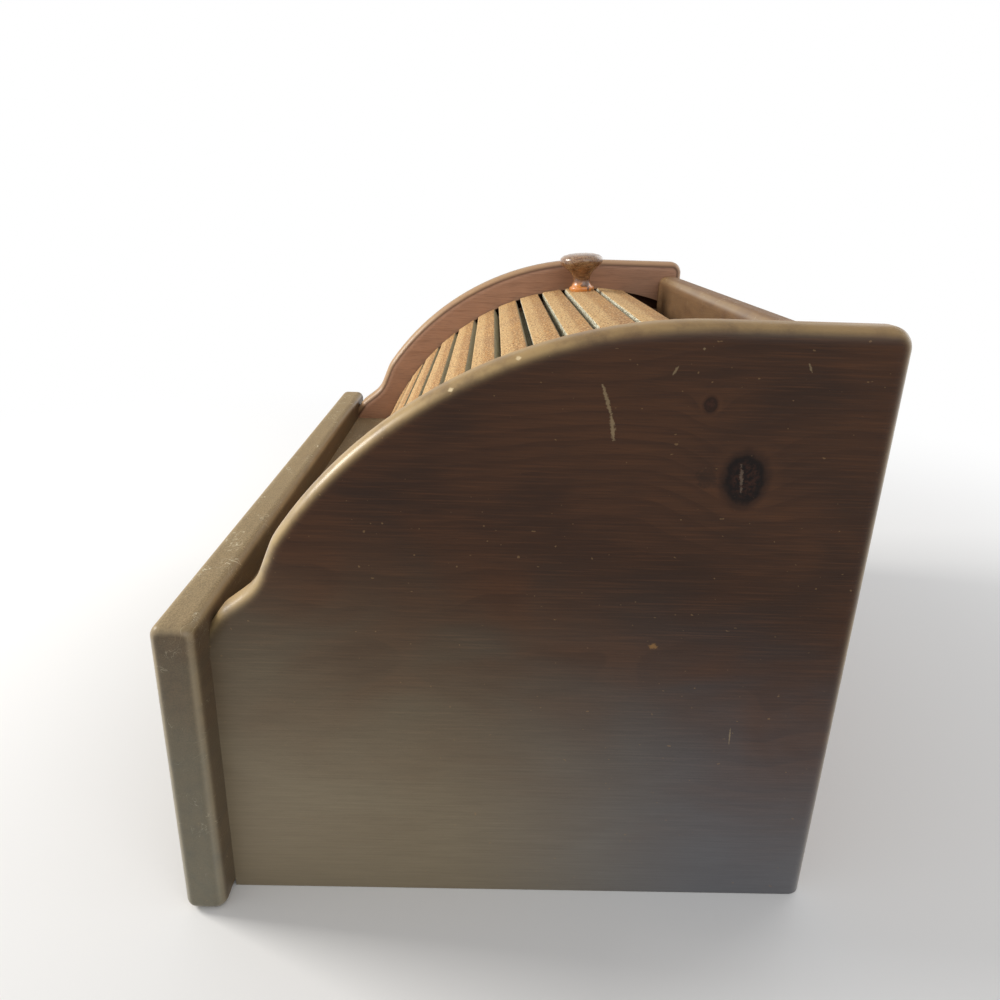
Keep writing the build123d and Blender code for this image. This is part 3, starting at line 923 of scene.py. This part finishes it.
@dataclass(frozen=True)
class WovenCanvas:
    """Dusty cotton duck in plain weave, read from the cloth's own map in millimetres."""

    pitch: float = 1.1                  # one thread to the next
    warp: Tone = Tone(176, 168, 140)
    weft: Tone = Tone(150, 142, 118)
    gap: Tone = Tone(70, 64, 52)
    dusty: Tone = Tone(186, 178, 148)

    warp_on_top: Band = Band(-0.1, 0.1)
    weft_on_top: Band = Band(0.1, -0.1)
    thread_edge: Band = Band(0.15, 0.7)
    slubs: Noise = Noise(0.9, 0.12, 0.0, 3.0, 0.65)
    slub_cut: float = 1.0
    slub_edge: Band = Band(0.5, 0.75, 0.35)
    dirt: Noise = Noise(0.03, 0.05, 0.0, 3.0, 0.6)
    dirt_cut: float = 4.0
    dirt_edge: Band = Band(0.42, 0.72, 0.45)

    slub_relief: float = 0.2
    relief: float = 0.3 * MM
    relief_share: float = 0.8
    specular: float = 0.2
    roughness: float = 0.93

    def make(self, name: str) -> bpy.types.Material:
        """Build the material.

        Args:
            name: Its name.

        Returns:
            The material.
        """
        material, recipe = new_recipe(name)
        place = recipe.split(recipe.node("ShaderNodeUVMap", {"uv_map": CLOTH_MAP}))
        turn = math.pi / self.pitch
        over, under = (
            recipe.node("ShaderNodeMath", {"operation": "SINE"}, {0: part * turn}) for part in place[:2]
        )
        crossing = over * under
        warp = abs(over) * self.warp_on_top.of(crossing)
        weft = abs(under) * self.weft_on_top.of(crossing)
        slub = self.slubs.over(recipe, place, self.slub_cut)
        dirt = self.dirt.over(recipe, place, self.dirt_cut)

        colour = recipe.mix(self.thread_edge.of(warp), self.gap, self.warp)
        colour = recipe.mix(self.thread_edge.of(weft), colour, self.weft)
        colour = recipe.mix(self.slub_edge.of(slub), colour, self.dusty)
        colour = recipe.mix(self.dirt_edge.of(dirt), colour, self.dusty)
        height = warp.at_least(weft) + slub * self.slub_relief
        recipe.surface(
            Base_Color=colour,
            Roughness=self.roughness,
            Specular_IOR_Level=self.specular,
            Normal=recipe.bump(height, self.relief, self.relief_share),
        )
        return material


@dataclass(frozen=True)
class PlainBeech:
    """Pale beech with short flecks, as dowels are sold."""

    pale: Tone = Tone(206, 172, 130)
    dark: Tone = Tone(164, 124, 84)
    flecks: Noise = Noise(0.5, 0.5, 2.4, 3.0, 0.6)
    fleck_edge: Band = Band(0.62, 0.40)
    clouds: Noise = Noise(0.06, 0.06, 0.06, 2.0)
    cloud_edge: Band = Band(0.5, 0.7, 0.3)
    relief: float = 0.1 * MM
    relief_share: float = 0.4
    fleck_rough: float = 0.15
    smooth: float = 0.6

    def make(self, name: str) -> bpy.types.Material:
        """Build the material.

        Args:
            name: Its name.

        Returns:
            The material.
        """
        material, recipe = new_recipe(name)
        place = recipe.place()
        fleck = self.flecks.over(recipe, place)
        colour = recipe.mix(self.fleck_edge.of(fleck), self.pale, self.dark)
        colour = recipe.mix(self.cloud_edge.of(self.clouds.over(recipe, place)), colour, self.dark)
        recipe.surface(
            Base_Color=colour,
            Roughness=fleck * self.fleck_rough + self.smooth,
            Normal=recipe.bump(fleck, self.relief, self.relief_share),
        )
        return material


@dataclass(frozen=True)
class DullBrass:
    """Old brass, tarnished brown in soft patches and bright between them."""

    bright: Tone = Tone(206, 176, 104)
    brown: Tone = Tone(104, 78, 44)
    tarnish: Noise = Noise(0.6, 0.6, 0.6, 4.0, 0.65)
    tarnish_edge: Band = Band(0.40, 0.62)
    scratches: Noise = Noise(3.0, 3.0, 3.0, 2.0)
    relief: float = 0.05 * MM
    relief_share: float = 0.4
    tarnish_rough: float = 0.3
    smooth: float = 0.30

    def make(self, name: str) -> bpy.types.Material:
        """Build the material.

        Args:
            name: Its name.

        Returns:
            The material.
        """
        material, recipe = new_recipe(name)
        place = recipe.place()
        tarnish = self.tarnish.over(recipe, place)
        recipe.surface(
            Base_Color=recipe.mix(self.tarnish_edge.of(tarnish), self.bright, self.brown),
            Metallic=1.0,
            Roughness=tarnish * self.tarnish_rough + self.smooth,
            Normal=recipe.bump(self.scratches.over(recipe, place), self.relief, self.relief_share),
        )
        return material


# ---------------------------------------------------------------- mesh helpers
def reach(node: bpy.types.Object, direction: Vector) -> tuple[float, float]:
    """How far a node reaches along a direction.

    Args:
        node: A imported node.
        direction: Unit direction.

    Returns:
        Lowest and highest reach, in metres.
    """
    reaches = [vertex.co.dot(direction) for vertex in node.data.vertices]
    return min(reaches), max(reaches)


def finish_mesh(shape: bmesh.types.BMesh, name: str, material: bpy.types.Material, seat: Matrix,
                sharp_angle: float = 40.0) -> bpy.types.Object:
    """Turn a bmesh into a piece of the scene, smooth between its sharp edges.

    Args:
        shape: The shape in its own axes; it is freed.
        name: The piece's name.
        material: Its finish.
        seat: Where its own axes lie on the object.
        sharp_angle: Edges that turn more than this stay sharp, in degrees.

    Returns:
        The new object, at the origin with its place in its mesh.
    """
    bmesh.ops.remove_doubles(shape, verts=shape.verts, dist=SAME_PLACE)
    bmesh.ops.recalc_face_normals(shape, faces=shape.faces)
    bmesh.ops.transform(shape, matrix=seat, verts=shape.verts)
    mesh = bpy.data.meshes.new(name)
    shape.to_mesh(mesh)
    shape.free()
    mesh.polygons.foreach_set("use_smooth", [True] * len(mesh.polygons))
    mesh.set_sharp_from_angle(angle=math.radians(sharp_angle))
    mesh.materials.append(material)
    piece = bpy.data.objects.new(name, mesh)
    bpy.context.scene.collection.objects.link(piece)
    return piece


def note_grain(piece: bpy.types.Object, seat: Matrix, shift: Vector, half_width: float) -> None:
    """Write each point's place in its own board, and its distance to the long edges.

    Args:
        piece: The finished piece.
        seat: Where its own axes lie on the object.
        shift: Moves the pattern, in millimetres.
        half_width: From the middle to a long edge, in metres.
    """
    inverse = seat.inverted()
    places, edges = [], []
    for vertex in piece.data.vertices:
        own = (inverse @ vertex.co) * PER_METRE
        places.extend(own + shift)
        edges.append(half_width * PER_METRE - abs(own.y))
    mesh = piece.data
    mesh.attributes.new(GRAIN_PLACE, "FLOAT_VECTOR", "POINT").data.foreach_set("vector", places)
    mesh.attributes.new(EDGE_DISTANCE, "FLOAT", "POINT").data.foreach_set("value", edges)


def long_edges(shape: bmesh.types.BMesh, half_width: float) -> list[bmesh.types.BMEdge]:
    """Edges of a face at height nought that run along x at its two long sides.

    Args:
        shape: The board, with x along it.
        half_width: From the middle to a long side, in metres.

    Returns:
        The edges.
    """
    found = []
    for edge in shape.edges:
        start, end = (vertex.co for vertex in edge.verts)
        on_face = abs(start.z) < LEVEL and abs(end.z) < LEVEL
        at_side = abs(start.y) > half_width - LEVEL and abs(end.y) > half_width - LEVEL
        if on_face and at_side and start.y * end.y > 0.0:
            found.append(edge)
    return found


# ---------------------------------------------------------------- sub-assemblies
@dataclass
class Carcass:
    """The fixed box: side panels, front board, ledge, back, bottom and their dowels."""

    body: str = "carcass"
    pale: Tone = Tone(176, 156, 120)
    tan: Tone = Tone(150, 112, 66)
    chipped: Tone = Tone(238, 216, 172)
    crack: Tone = Tone(130, 112, 96)
    stain: Tone = Tone(34, 24, 18)

    def right_side(self) -> StainedPine:
        """The near panel: one big knot, a small one above it and a few old scars."""
        knots = (
            Knot(85.4, 204.2, 8.0, 10.0, 12.0),
            Knot(69.0, 232.6, 2.6, 3.0, 5.0, 0.6),
        )
        marks = (
            Mark((29.1, 238.8), (33.0, 228.0), 0.9, self.pale, 0.36),
            Mark((33.0, 228.0), (34.8, 218.5), 1.1, self.pale, 0.40),
            Mark((56.4, 131.6), (59.4, 131.2), 1.6, self.tan, 0.65, 0.4),
            Mark((83.4, 210.0), (84.8, 199.0), 0.7, self.crack, 0.40, 0.9),
            Mark((53.9, 243.0), (55.8, 246.4), 0.6, self.pale, 0.34, 0.5),
            Mark((63.8, 252.6), (64.6, 252.8), 0.6, self.pale, 0.34, 0.3),
            Mark((-26.5, 234.6), (-25.0, 235.4), 0.9, self.chipped, 0.90, 0.2),
            Mark((-2.3, 246.7), (-0.7, 247.3), 0.8, self.chipped, 0.90, 0.2),
            Mark((95.0, 92.0), (95.4, 84.0), 0.45, self.pale, 0.40, 0.4),
            Mark((102.4, 248.6), (104.0, 245.4), 0.5, self.pale, 0.30, 0.5),
            Mark((74.0, 203.0), (68.0, 206.0), 5.5, self.stain, 0.45, 0.3),
        )
        # painted reflection low on the outer face, painted sunlight on the inner face
        return StainedPine(
            Grain.UPRIGHT_SIDE, 3.0, (118.0, 118.0), knots=knots, marks=marks, dust=0.45, wear_and_highlight=0.95,
            painted_reflection=0.9, painted_sunlight=0.5, dusty=Tone(160, 128, 88),
        )

    def left_side(self) -> StainedPine:
        """The far panel, with reddish painted sunlight on the face that the light reaches."""
        knots = (Knot(-52.0, 92.0, 6.5, 7.5, 9.0), Knot(96.0, 58.0, 4.0, 4.6, 6.0))
        marks = (Mark((10.0, 120.0), (26.0, 123.0), 0.4, self.pale, 0.5),)
        return StainedPine(
            Grain.UPRIGHT_SIDE, 21.0, (150.0, -108.0), knots=knots, marks=marks, dust=0.2, wear_and_highlight=0.45,
            redness=0.12, painted_sunlight=0.92, figure=0.16, gleam=0.35,
        )

    def front(self) -> StainedPine:
        """The front board, thick with dust along its top."""
        knots = (Knot(-96.0, 58.0, 7.5, 8.5, 10.0), Knot(122.0, 98.0, 4.2, 4.8, 6.5))
        marks = (
            Mark((-30.0, 40.0), (6.0, 44.0), 0.4, self.pale, 0.45),
            Mark((150.0, 22.0), (153.0, 23.0), 1.3, self.tan, 0.7, 0.4),
        )
        # painted reflection greys the board, and its dust film also paints sky-lit shade on its upright faces
        return StainedPine(
            Grain.UPRIGHT_FRONT, 11.0, (60.0, -30.0), knots=knots, marks=marks, dust=0.95, wear_and_highlight=0.7,
            painted_reflection=0.62, lint=0.85, dust_and_painted_light=0.24, reflection_warm=Tone(114, 120, 110),
        )

    def dress(self) -> None:
        """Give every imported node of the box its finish."""
        finishes = {
            "side_panel_right": self.right_side(),
            "side_panel_left": self.left_side(),
            "front_board": self.front(),
            "front_ledge": StainedPine(
                Grain.FLAT, 31.0, (0.0, 40.0), dust=0.8, wear_and_highlight=0.4, redness=0.2, lint=0.8
            ),
            # the dust film and its pale tone also paint sunlight on this board's front face
            "back_board": StainedPine(
                Grain.UPRIGHT_FRONT, 41.0, (150.0, 210.0), dust=0.5, wear_and_highlight=0.4, redness=0.2, dust_and_painted_light=0.52,
                knots=(Knot(64.0, 148.0, 8.0, 9.0, 10.0),), lint=0.6, dusty=Tone(166, 132, 92),
            ),
            "bottom_board": StainedPine(
                Grain.FLAT, 51.0, (20.0, -60.0), dust=0.6, wear_and_highlight=0.2, redness=0.2, body=Tone(96, 66, 44)
            ),
        }
        for node, finish in finishes.items():
            self._give(node, finish.make(f"stained_{node}"))
        beech = PlainBeech().make("dowel_beech")
        for node in ("front_dowels", "back_dowels", "ledge_dowels"):
            self._give(node, beech)

    def _give(self, node: str, material: bpy.types.Material) -> None:
        """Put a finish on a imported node."""
        frame["nodes"][node].material_slots[0].material = material
        LOG.info("%s: %s wears %s", self.body, node, material.name)


@dataclass
class SlattedCover:
    """The rolling cover: fourteen slats and the cloth that joins them."""

    body: str = "cover"
    arris: float = 0.9 * MM             # rounding of the long edges
    arris_cuts: int = 3
    tongue_set: float = 1.5 * MM        # tongue's face below the slat's face
    shoulder: float = 8.3 * MM          # length of a tongue
    skin_facing: float = 0.9            # least upward part of the direction of a slat's face
    warp: float = 0.16 * MM             # how far an old slat's face strays
    warp_floor: float = 0.6             # share of the warp that every point has
    swells: int = 4                     # waves that are added up along a slat
    shortest_wave: float = 12.0 * MM
    longest_wave: float = 50.0 * MM
    steady_end: float = 0.1 * MM        # a slat's last bit at each shoulder stays straight
    nibbled: float = 1.2                # width of the worn arris, in arrises
    wear_seed: int = 100
    stations: int = 30                  # cuts along a slat
    cloth_steps: int = 96               # cuts along the cloth's arc
    grain_step: float = 500.0           # from one slat's grain to the next one's, in millimetres
    pivot: Vector = field(default_factory=lambda: Vector(frame["joints"][0]["pos_m"]))

    def slat_names(self) -> list[str]:
        """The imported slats, from the front to the back."""
        members = frame["record"]["behaviour"]["bodies"][self.body]
        return sorted(name for name in members if "slat" in name)

    def seat(self, node: bpy.types.Object) -> Matrix:
        """The axes of a slat: x along it, y across it, z away from the pivot, origin on its face.

        Args:
            node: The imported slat.

        Returns:
            Its axes as a matrix.
        """
        low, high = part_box(node.name)
        out = (low + high) / 2 - self.pivot
        out.x = 0.0
        out.normalize()
        across = out.cross(Vector((1.0, 0.0, 0.0)))
        face = reach(node, out)[1] - self.pivot.dot(out)
        origin = self.pivot + out * face
        axes = Matrix((Vector((1.0, 0.0, 0.0)), across, out)).transposed()
        return Matrix.Translation(origin) @ axes.to_4x4()

    def build_slat(self, name: str, number: int, finish: bpy.types.Material) -> bpy.types.Object:
        """One slat with its tongues, its face a little warped and its arrises worn.

        Args:
            name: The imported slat's name.
            number: Its place in the cover, which seeds its wear.
            finish: Its finish.

        Returns:
            The slat.
        """
        node = frame["nodes"][name]
        seat = self.seat(node)
        across, out = seat.col[1].to_3d(), seat.col[2].to_3d()
        width = reach(node, across)[1] - reach(node, across)[0]
        thickness = reach(node, out)[1] - reach(node, out)[0]
        half_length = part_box(name)[1].x

        shape = self._blank(half_length, width, thickness)
        bmesh.ops.bevel(
            shape, geom=long_edges(shape, width / 2), offset=self.arris, offset_type="OFFSET",
            segments=self.arris_cuts, profile=0.5, affect="EDGES", material=-1,
        )
        self._age(shape, half_length - self.shoulder, width / 2, random.Random(self.wear_seed + number))
        piece = finish_mesh(shape, name + "_wood", finish, seat)
        note_grain(piece, seat, Vector((number * self.grain_step, 0.0, 0.0)), width / 2)
        self._fit(piece, name)
        return piece

    def _blank(self, half_length: float, width: float, thickness: float) -> bmesh.types.BMesh:
        """A straight slat with a tongue at each end, its face at height nought.

        Args:
            half_length: From its middle to a tongue's end.
            width: Across it.
            thickness: From its face to its back.

        Returns:
            The shape.
        """
        shape = bmesh.new()
        bmesh.ops.create_cube(shape, size=1.0)
        tongue = thickness - 2 * self.tongue_set
        bmesh.ops.scale(shape, vec=(2 * half_length, width, tongue), verts=shape.verts)
        bmesh.ops.translate(shape, vec=(0.0, 0.0, -thickness / 2), verts=shape.verts)
        body_end = half_length - self.shoulder
        cuts = [-body_end + 2 * body_end * n / self.stations for n in range(self.stations + 1)]
        for cut in cuts:
            every = shape.verts[:] + shape.edges[:] + shape.faces[:]
            bmesh.ops.bisect_plane(shape, geom=every, plane_co=(cut, 0.0, 0.0), plane_no=(1.0, 0.0, 0.0))
        for side in (1.0, -1.0):
            skin = [
                face for face in shape.faces
                if face.normal.z * side > self.skin_facing and abs(face.calc_center_median().x) < body_end
            ]
            raised = bmesh.ops.extrude_face_region(shape, geom=skin)["geom"]
            bmesh.ops.delete(shape, geom=skin, context="FACES_ONLY")
            lifted = [part for part in raised if isinstance(part, bmesh.types.BMVert)]
            bmesh.ops.translate(shape, vec=(0.0, 0.0, side * self.tongue_set), verts=lifted)
        bmesh.ops.recalc_face_normals(shape, faces=shape.faces)
        return shape

    def _age(self, shape: bmesh.types.BMesh, body_end: float, half_width: float,
             chance: random.Random) -> None:
        """Warp a slat's face and nibble its arrises.

        Args:
            shape: The slat.
            body_end: From its middle to a shoulder.
            half_width: From its middle to a long side.
            chance: Where its wear is drawn from.
        """
        swells = []
        for _ in range(self.swells):
            wave = chance.uniform(self.shortest_wave, self.longest_wave)
            swells.append((wave, chance.uniform(0, math.tau), chance.uniform(-1, 1)))
        for vertex in shape.verts:
            x, z = vertex.co.x, vertex.co.z
            if abs(x) > body_end - self.steady_end or z < -self.tongue_set:
                continue
            sway = sum(size * math.sin(x / wave + phase) for wave, phase, size in swells) / len(swells)
            vertex.co.z -= self.warp * (self.warp_floor + sway)
            if abs(vertex.co.y) > half_width - self.nibbled * self.arris:
                nibble = self.warp * chance.uniform(0.0, 1.0)
                vertex.co.y -= math.copysign(nibble, vertex.co.y)

    def build_cloth(self, finish: bpy.types.Material) -> bpy.types.Object:
        """The canvas under the slats, as one woven sheet bent round the pivot.

        Args:
            finish: Its finish.

        Returns:
            The cloth.
        """
        name = "tambour_canvas"
        node = frame["nodes"][name]
        radii, angles = [], []
        for vertex in node.data.vertices:
            arm = vertex.co - self.pivot
            radii.append(math.hypot(arm.y, arm.z))
            angles.append(math.atan2(-arm.y, arm.z))
        low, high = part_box(name)
        radius = (min(radii) + max(radii)) / 2
        first, last = min(angles), max(angles)

        shape = bmesh.new()
        start = Vector((0.0, -radius * math.sin(first), radius * math.cos(first))) + self.pivot
        ends = [shape.verts.new((x, start.y, start.z)) for x in (low.x, high.x)]
        thread = shape.edges.new(ends)
        bmesh.ops.spin(
            shape, geom=[*ends, thread], cent=self.pivot, axis=(1.0, 0.0, 0.0), angle=last - first,
            steps=self.cloth_steps,
        )
        piece = finish_mesh(shape, "tambour_cloth", finish, Matrix.Identity(4))
        layer = piece.data.uv_layers.new(name=CLOTH_MAP)
        for loop in piece.data.loops:
            spot = piece.data.vertices[loop.vertex_index].co
            arm = spot - self.pivot
            turned = math.atan2(-arm.y, arm.z) - first
            layer.data[loop.index].uv = (spot.x * PER_METRE, turned * radius * PER_METRE)
        thicken = piece.modifiers.new("thickness", "SOLIDIFY")
        thicken.thickness = max(radii) - min(radii)
        thicken.offset = 0.0
        self._fit(piece, name)
        [slat + "_wood" for slat in self.slat_names()]
        return piece

    def _fit(self, piece: bpy.types.Object, node: str) -> None:
        """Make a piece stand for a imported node."""
        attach(piece, self.body)
        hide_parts(node)
        LOG.info("%s: %s stands for %s", self.body, piece.name, node)

    def build(self) -> None:
        """Build the slats and their cloth."""
        finish = DustySlat().make("dusty_slat")
        for number, name in enumerate(self.slat_names()):
            self.build_slat(name, number, finish)
        self.build_cloth(WovenCanvas().make("woven_canvas"))


@dataclass
class Knob:
    """The turned knob and the screw that holds it."""

    cover: SlattedCover
    sides: int = 72                     # cuts round the knob
    foot_share: float = 0.2             # top of the worn foot, as a share of the knob's height
    head_share: float = 0.55            # underside of the head
    sharp_angle: float = 50.0           # turns below this are smooth, in degrees
    # radius and height of the turned profile, as shares of the head's radius and the knob's height
    profile: tuple[tuple[float, float], ...] = (
        (0.56, 0.0), (0.575, 0.03), (0.575, 0.09), (0.55, 0.115), (0.505, 0.125), (0.455, 0.15),
        (0.405, 0.22), (0.395, 0.31), (0.43, 0.40), (0.54, 0.50), (0.74, 0.60), (0.93, 0.70),
        (1.0, 0.80), (0.965, 0.88), (0.82, 0.945), (0.55, 0.985), (0.25, 1.0), (0.0, 1.0),
    )

    def build(self) -> bpy.types.Object:
        """Turn the knob on its axis.

        Returns:
            The knob.
        """
        node = frame["nodes"]["knob"]
        seat = self.cover.seat(frame["nodes"]["knob_slat"])
        low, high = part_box("knob")
        along = Vector((1.0, 0.0, 0.0)) * ((low.x + high.x) / 2)
        seat = Matrix.Translation(along) @ seat
        radius = (high.x - low.x) / 2
        out = seat.col[2].to_3d()
        height = reach(node, out)[1] - reach(node, out)[0]

        shape = bmesh.new()
        points = [shape.verts.new((out_share * radius, 0.0, up_share * height))
                  for out_share, up_share in self.profile]
        lines = [shape.edges.new(pair) for pair in zip(points, points[1:])]
        bmesh.ops.spin(
            shape, geom=[*points, *lines], cent=(0.0, 0.0, 0.0), axis=(0.0, 0.0, 1.0), angle=math.tau,
            steps=self.sides, use_merge=True,
        )
        bmesh.ops.remove_doubles(shape, verts=shape.verts, dist=LEVEL)
        rim = [edge for edge in shape.edges if edge.is_boundary]
        bmesh.ops.contextual_create(shape, geom=rim)
        rise = height * PER_METRE
        gloss = TurnedGloss(self.foot_share * rise, self.head_share * rise).make("turned_gloss")
        piece = finish_mesh(shape, "knob_turned", gloss, seat, self.sharp_angle)
        note_grain(piece, seat, Vector((0.0, 0.0, 0.0)), radius)
        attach(piece, self.cover.body)
        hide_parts("knob")
        LOG.info("%s: %s stands for knob", self.cover.body, piece.name)
        frame["nodes"]["knob_screw"].material_slots[0].material = DullBrass().make("dull_brass")
        return piece


# ---------------------------------------------------------------- studio
@dataclass
class Lamp:
    """A soft square lamp that points at the object."""

    name: str
    place: Vector
    size: float
    power: float
    tint: tuple[float, float, float] = (1.0, 1.0, 1.0)

    def hang(self, target: Vector) -> None:
        """Add the lamp, turned towards a point."""
        light = bpy.data.lights.new(self.name, "AREA")
        light.shape = "SQUARE"
        light.size = self.size
        light.energy = self.power
        light.color = self.tint
        lamp = bpy.data.objects.new(self.name, light)
        lamp.location = self.place
        lamp.rotation_euler = (target - self.place).to_track_quat("-Z", "Y").to_euler()
        bpy.context.scene.collection.objects.link(lamp)


@dataclass
class Studio:
    """Camera, soft lamps, pale floor and white surroundings."""

    camera_place: Vector = field(default_factory=lambda: Vector((0.47179056, -0.01174601, 0.29638938)))
    camera_turn: tuple[float, float, float] = (69.61364213, -1.72657242, 89.56954863)
    lens: float = 28.0
    sensor: float = 36.0
    nearest: float = 0.01               # what is closer to the camera isn't drawn
    ambient: float = 0.52               # light from all round
    floor_reach: float = 6.0            # half the floor's width
    floor_cuts: int = 8
    floor_drop: float = 0.2 * MM        # keeps it clear of the box's foot
    floor_grey: tuple[float, float, float, float] = (0.86, 0.86, 0.86, 1.0)
    near: float = 0.34                  # floor's shade is its own up to here
    far: float = 0.95                   # and plain white from here
    lamps: list[Lamp] = field(default_factory=lambda: [
        Lamp("key", Vector((-0.22, -1.50, 0.98)), 0.55, 24.0, (1.0, 0.97, 0.92)),
        Lamp("fill", Vector((1.5, 0.7, 1.2)), 1.4, 7.0),
        Lamp("back", Vector((-1.2, 1.3, 1.0)), 1.2, 7.0),
    ])

    def set_camera(self) -> None:
        """Put the camera where the photograph was taken."""
        lens = bpy.data.cameras.new("camera")
        lens.lens = self.lens
        lens.sensor_width = self.sensor
        lens.clip_start = self.nearest
        camera = bpy.data.objects.new("camera", lens)
        camera.location = self.camera_place
        camera.rotation_euler = [math.radians(turn) for turn in self.camera_turn]
        bpy.context.scene.collection.objects.link(camera)
        bpy.context.scene.camera = camera

    @staticmethod
    def _seen(recipe: Recipe) -> Signal:
        """One for what the camera, mirrors and glass look at, nought for light on the object."""
        rays = [
            recipe.node("ShaderNodeLightPath", output=f"Is {kind} Ray")
            for kind in ("Camera", "Glossy", "Transmission")
        ]
        return rays[0].at_least(rays[1]).at_least(rays[2])

    def set_world(self) -> None:
        """Even light from all round, seen as white."""
        world = bpy.data.worlds.new("surroundings")
        bpy.context.scene.world = world
        recipe = Recipe(world)
        dim = recipe.node("ShaderNodeBackground", inputs={"Color": WHITE, "Strength": self.ambient})
        plain = recipe.node("ShaderNodeBackground", inputs={"Color": WHITE, "Strength": 1.0})
        sky = recipe.node("ShaderNodeMixShader", inputs={0: self._seen(recipe), 1: dim, 2: plain})
        recipe.node("ShaderNodeOutputWorld", inputs={"Surface": sky})

    def lay_floor(self) -> None:
        """A pale floor that keeps the shadow near the object and turns white further out."""
        shape = bmesh.new()
        cuts = self.floor_cuts
        bmesh.ops.create_grid(shape, x_segments=cuts, y_segments=cuts, size=self.floor_reach)
        material, recipe = new_recipe("floor_pale")
        x, y, _ = recipe.place()
        away = (x * x + y * y).root() / PER_METRE
        matt = recipe.node("ShaderNodeBsdfDiffuse", inputs={"Color": self.floor_grey})
        white = recipe.node("ShaderNodeEmission", inputs={"Color": WHITE, "Strength": 1.0})
        share = away.step(self.near, self.far) * self._seen(recipe)
        both = recipe.node("ShaderNodeMixShader", inputs={0: share, 1: matt, 2: white})
        recipe.node("ShaderNodeOutputMaterial", inputs={"Surface": both})
        below = Matrix.Translation((0.0, 0.0, -self.floor_drop))
        floor = finish_mesh(shape, "floor", material, below)

    def build(self) -> None:
        """Set up everything round the object."""
        self.set_camera()
        self.set_world()
        self.lay_floor()
        low, high = CAD_BOX
        for lamp in self.lamps:
            lamp.hang((low + high) / 2)
        bpy.context.scene.view_settings.view_transform = "Standard"


def main() -> None:
    """Build the studio and the till's sub-assemblies in order."""
    logging.basicConfig(level=logging.INFO, format="%(name)s: %(message)s")
    Studio().build()
    Carcass().dress()
    cover = SlattedCover()
    cover.build()
    Knob(cover).build()


if __name__ == "__main__":
    main()
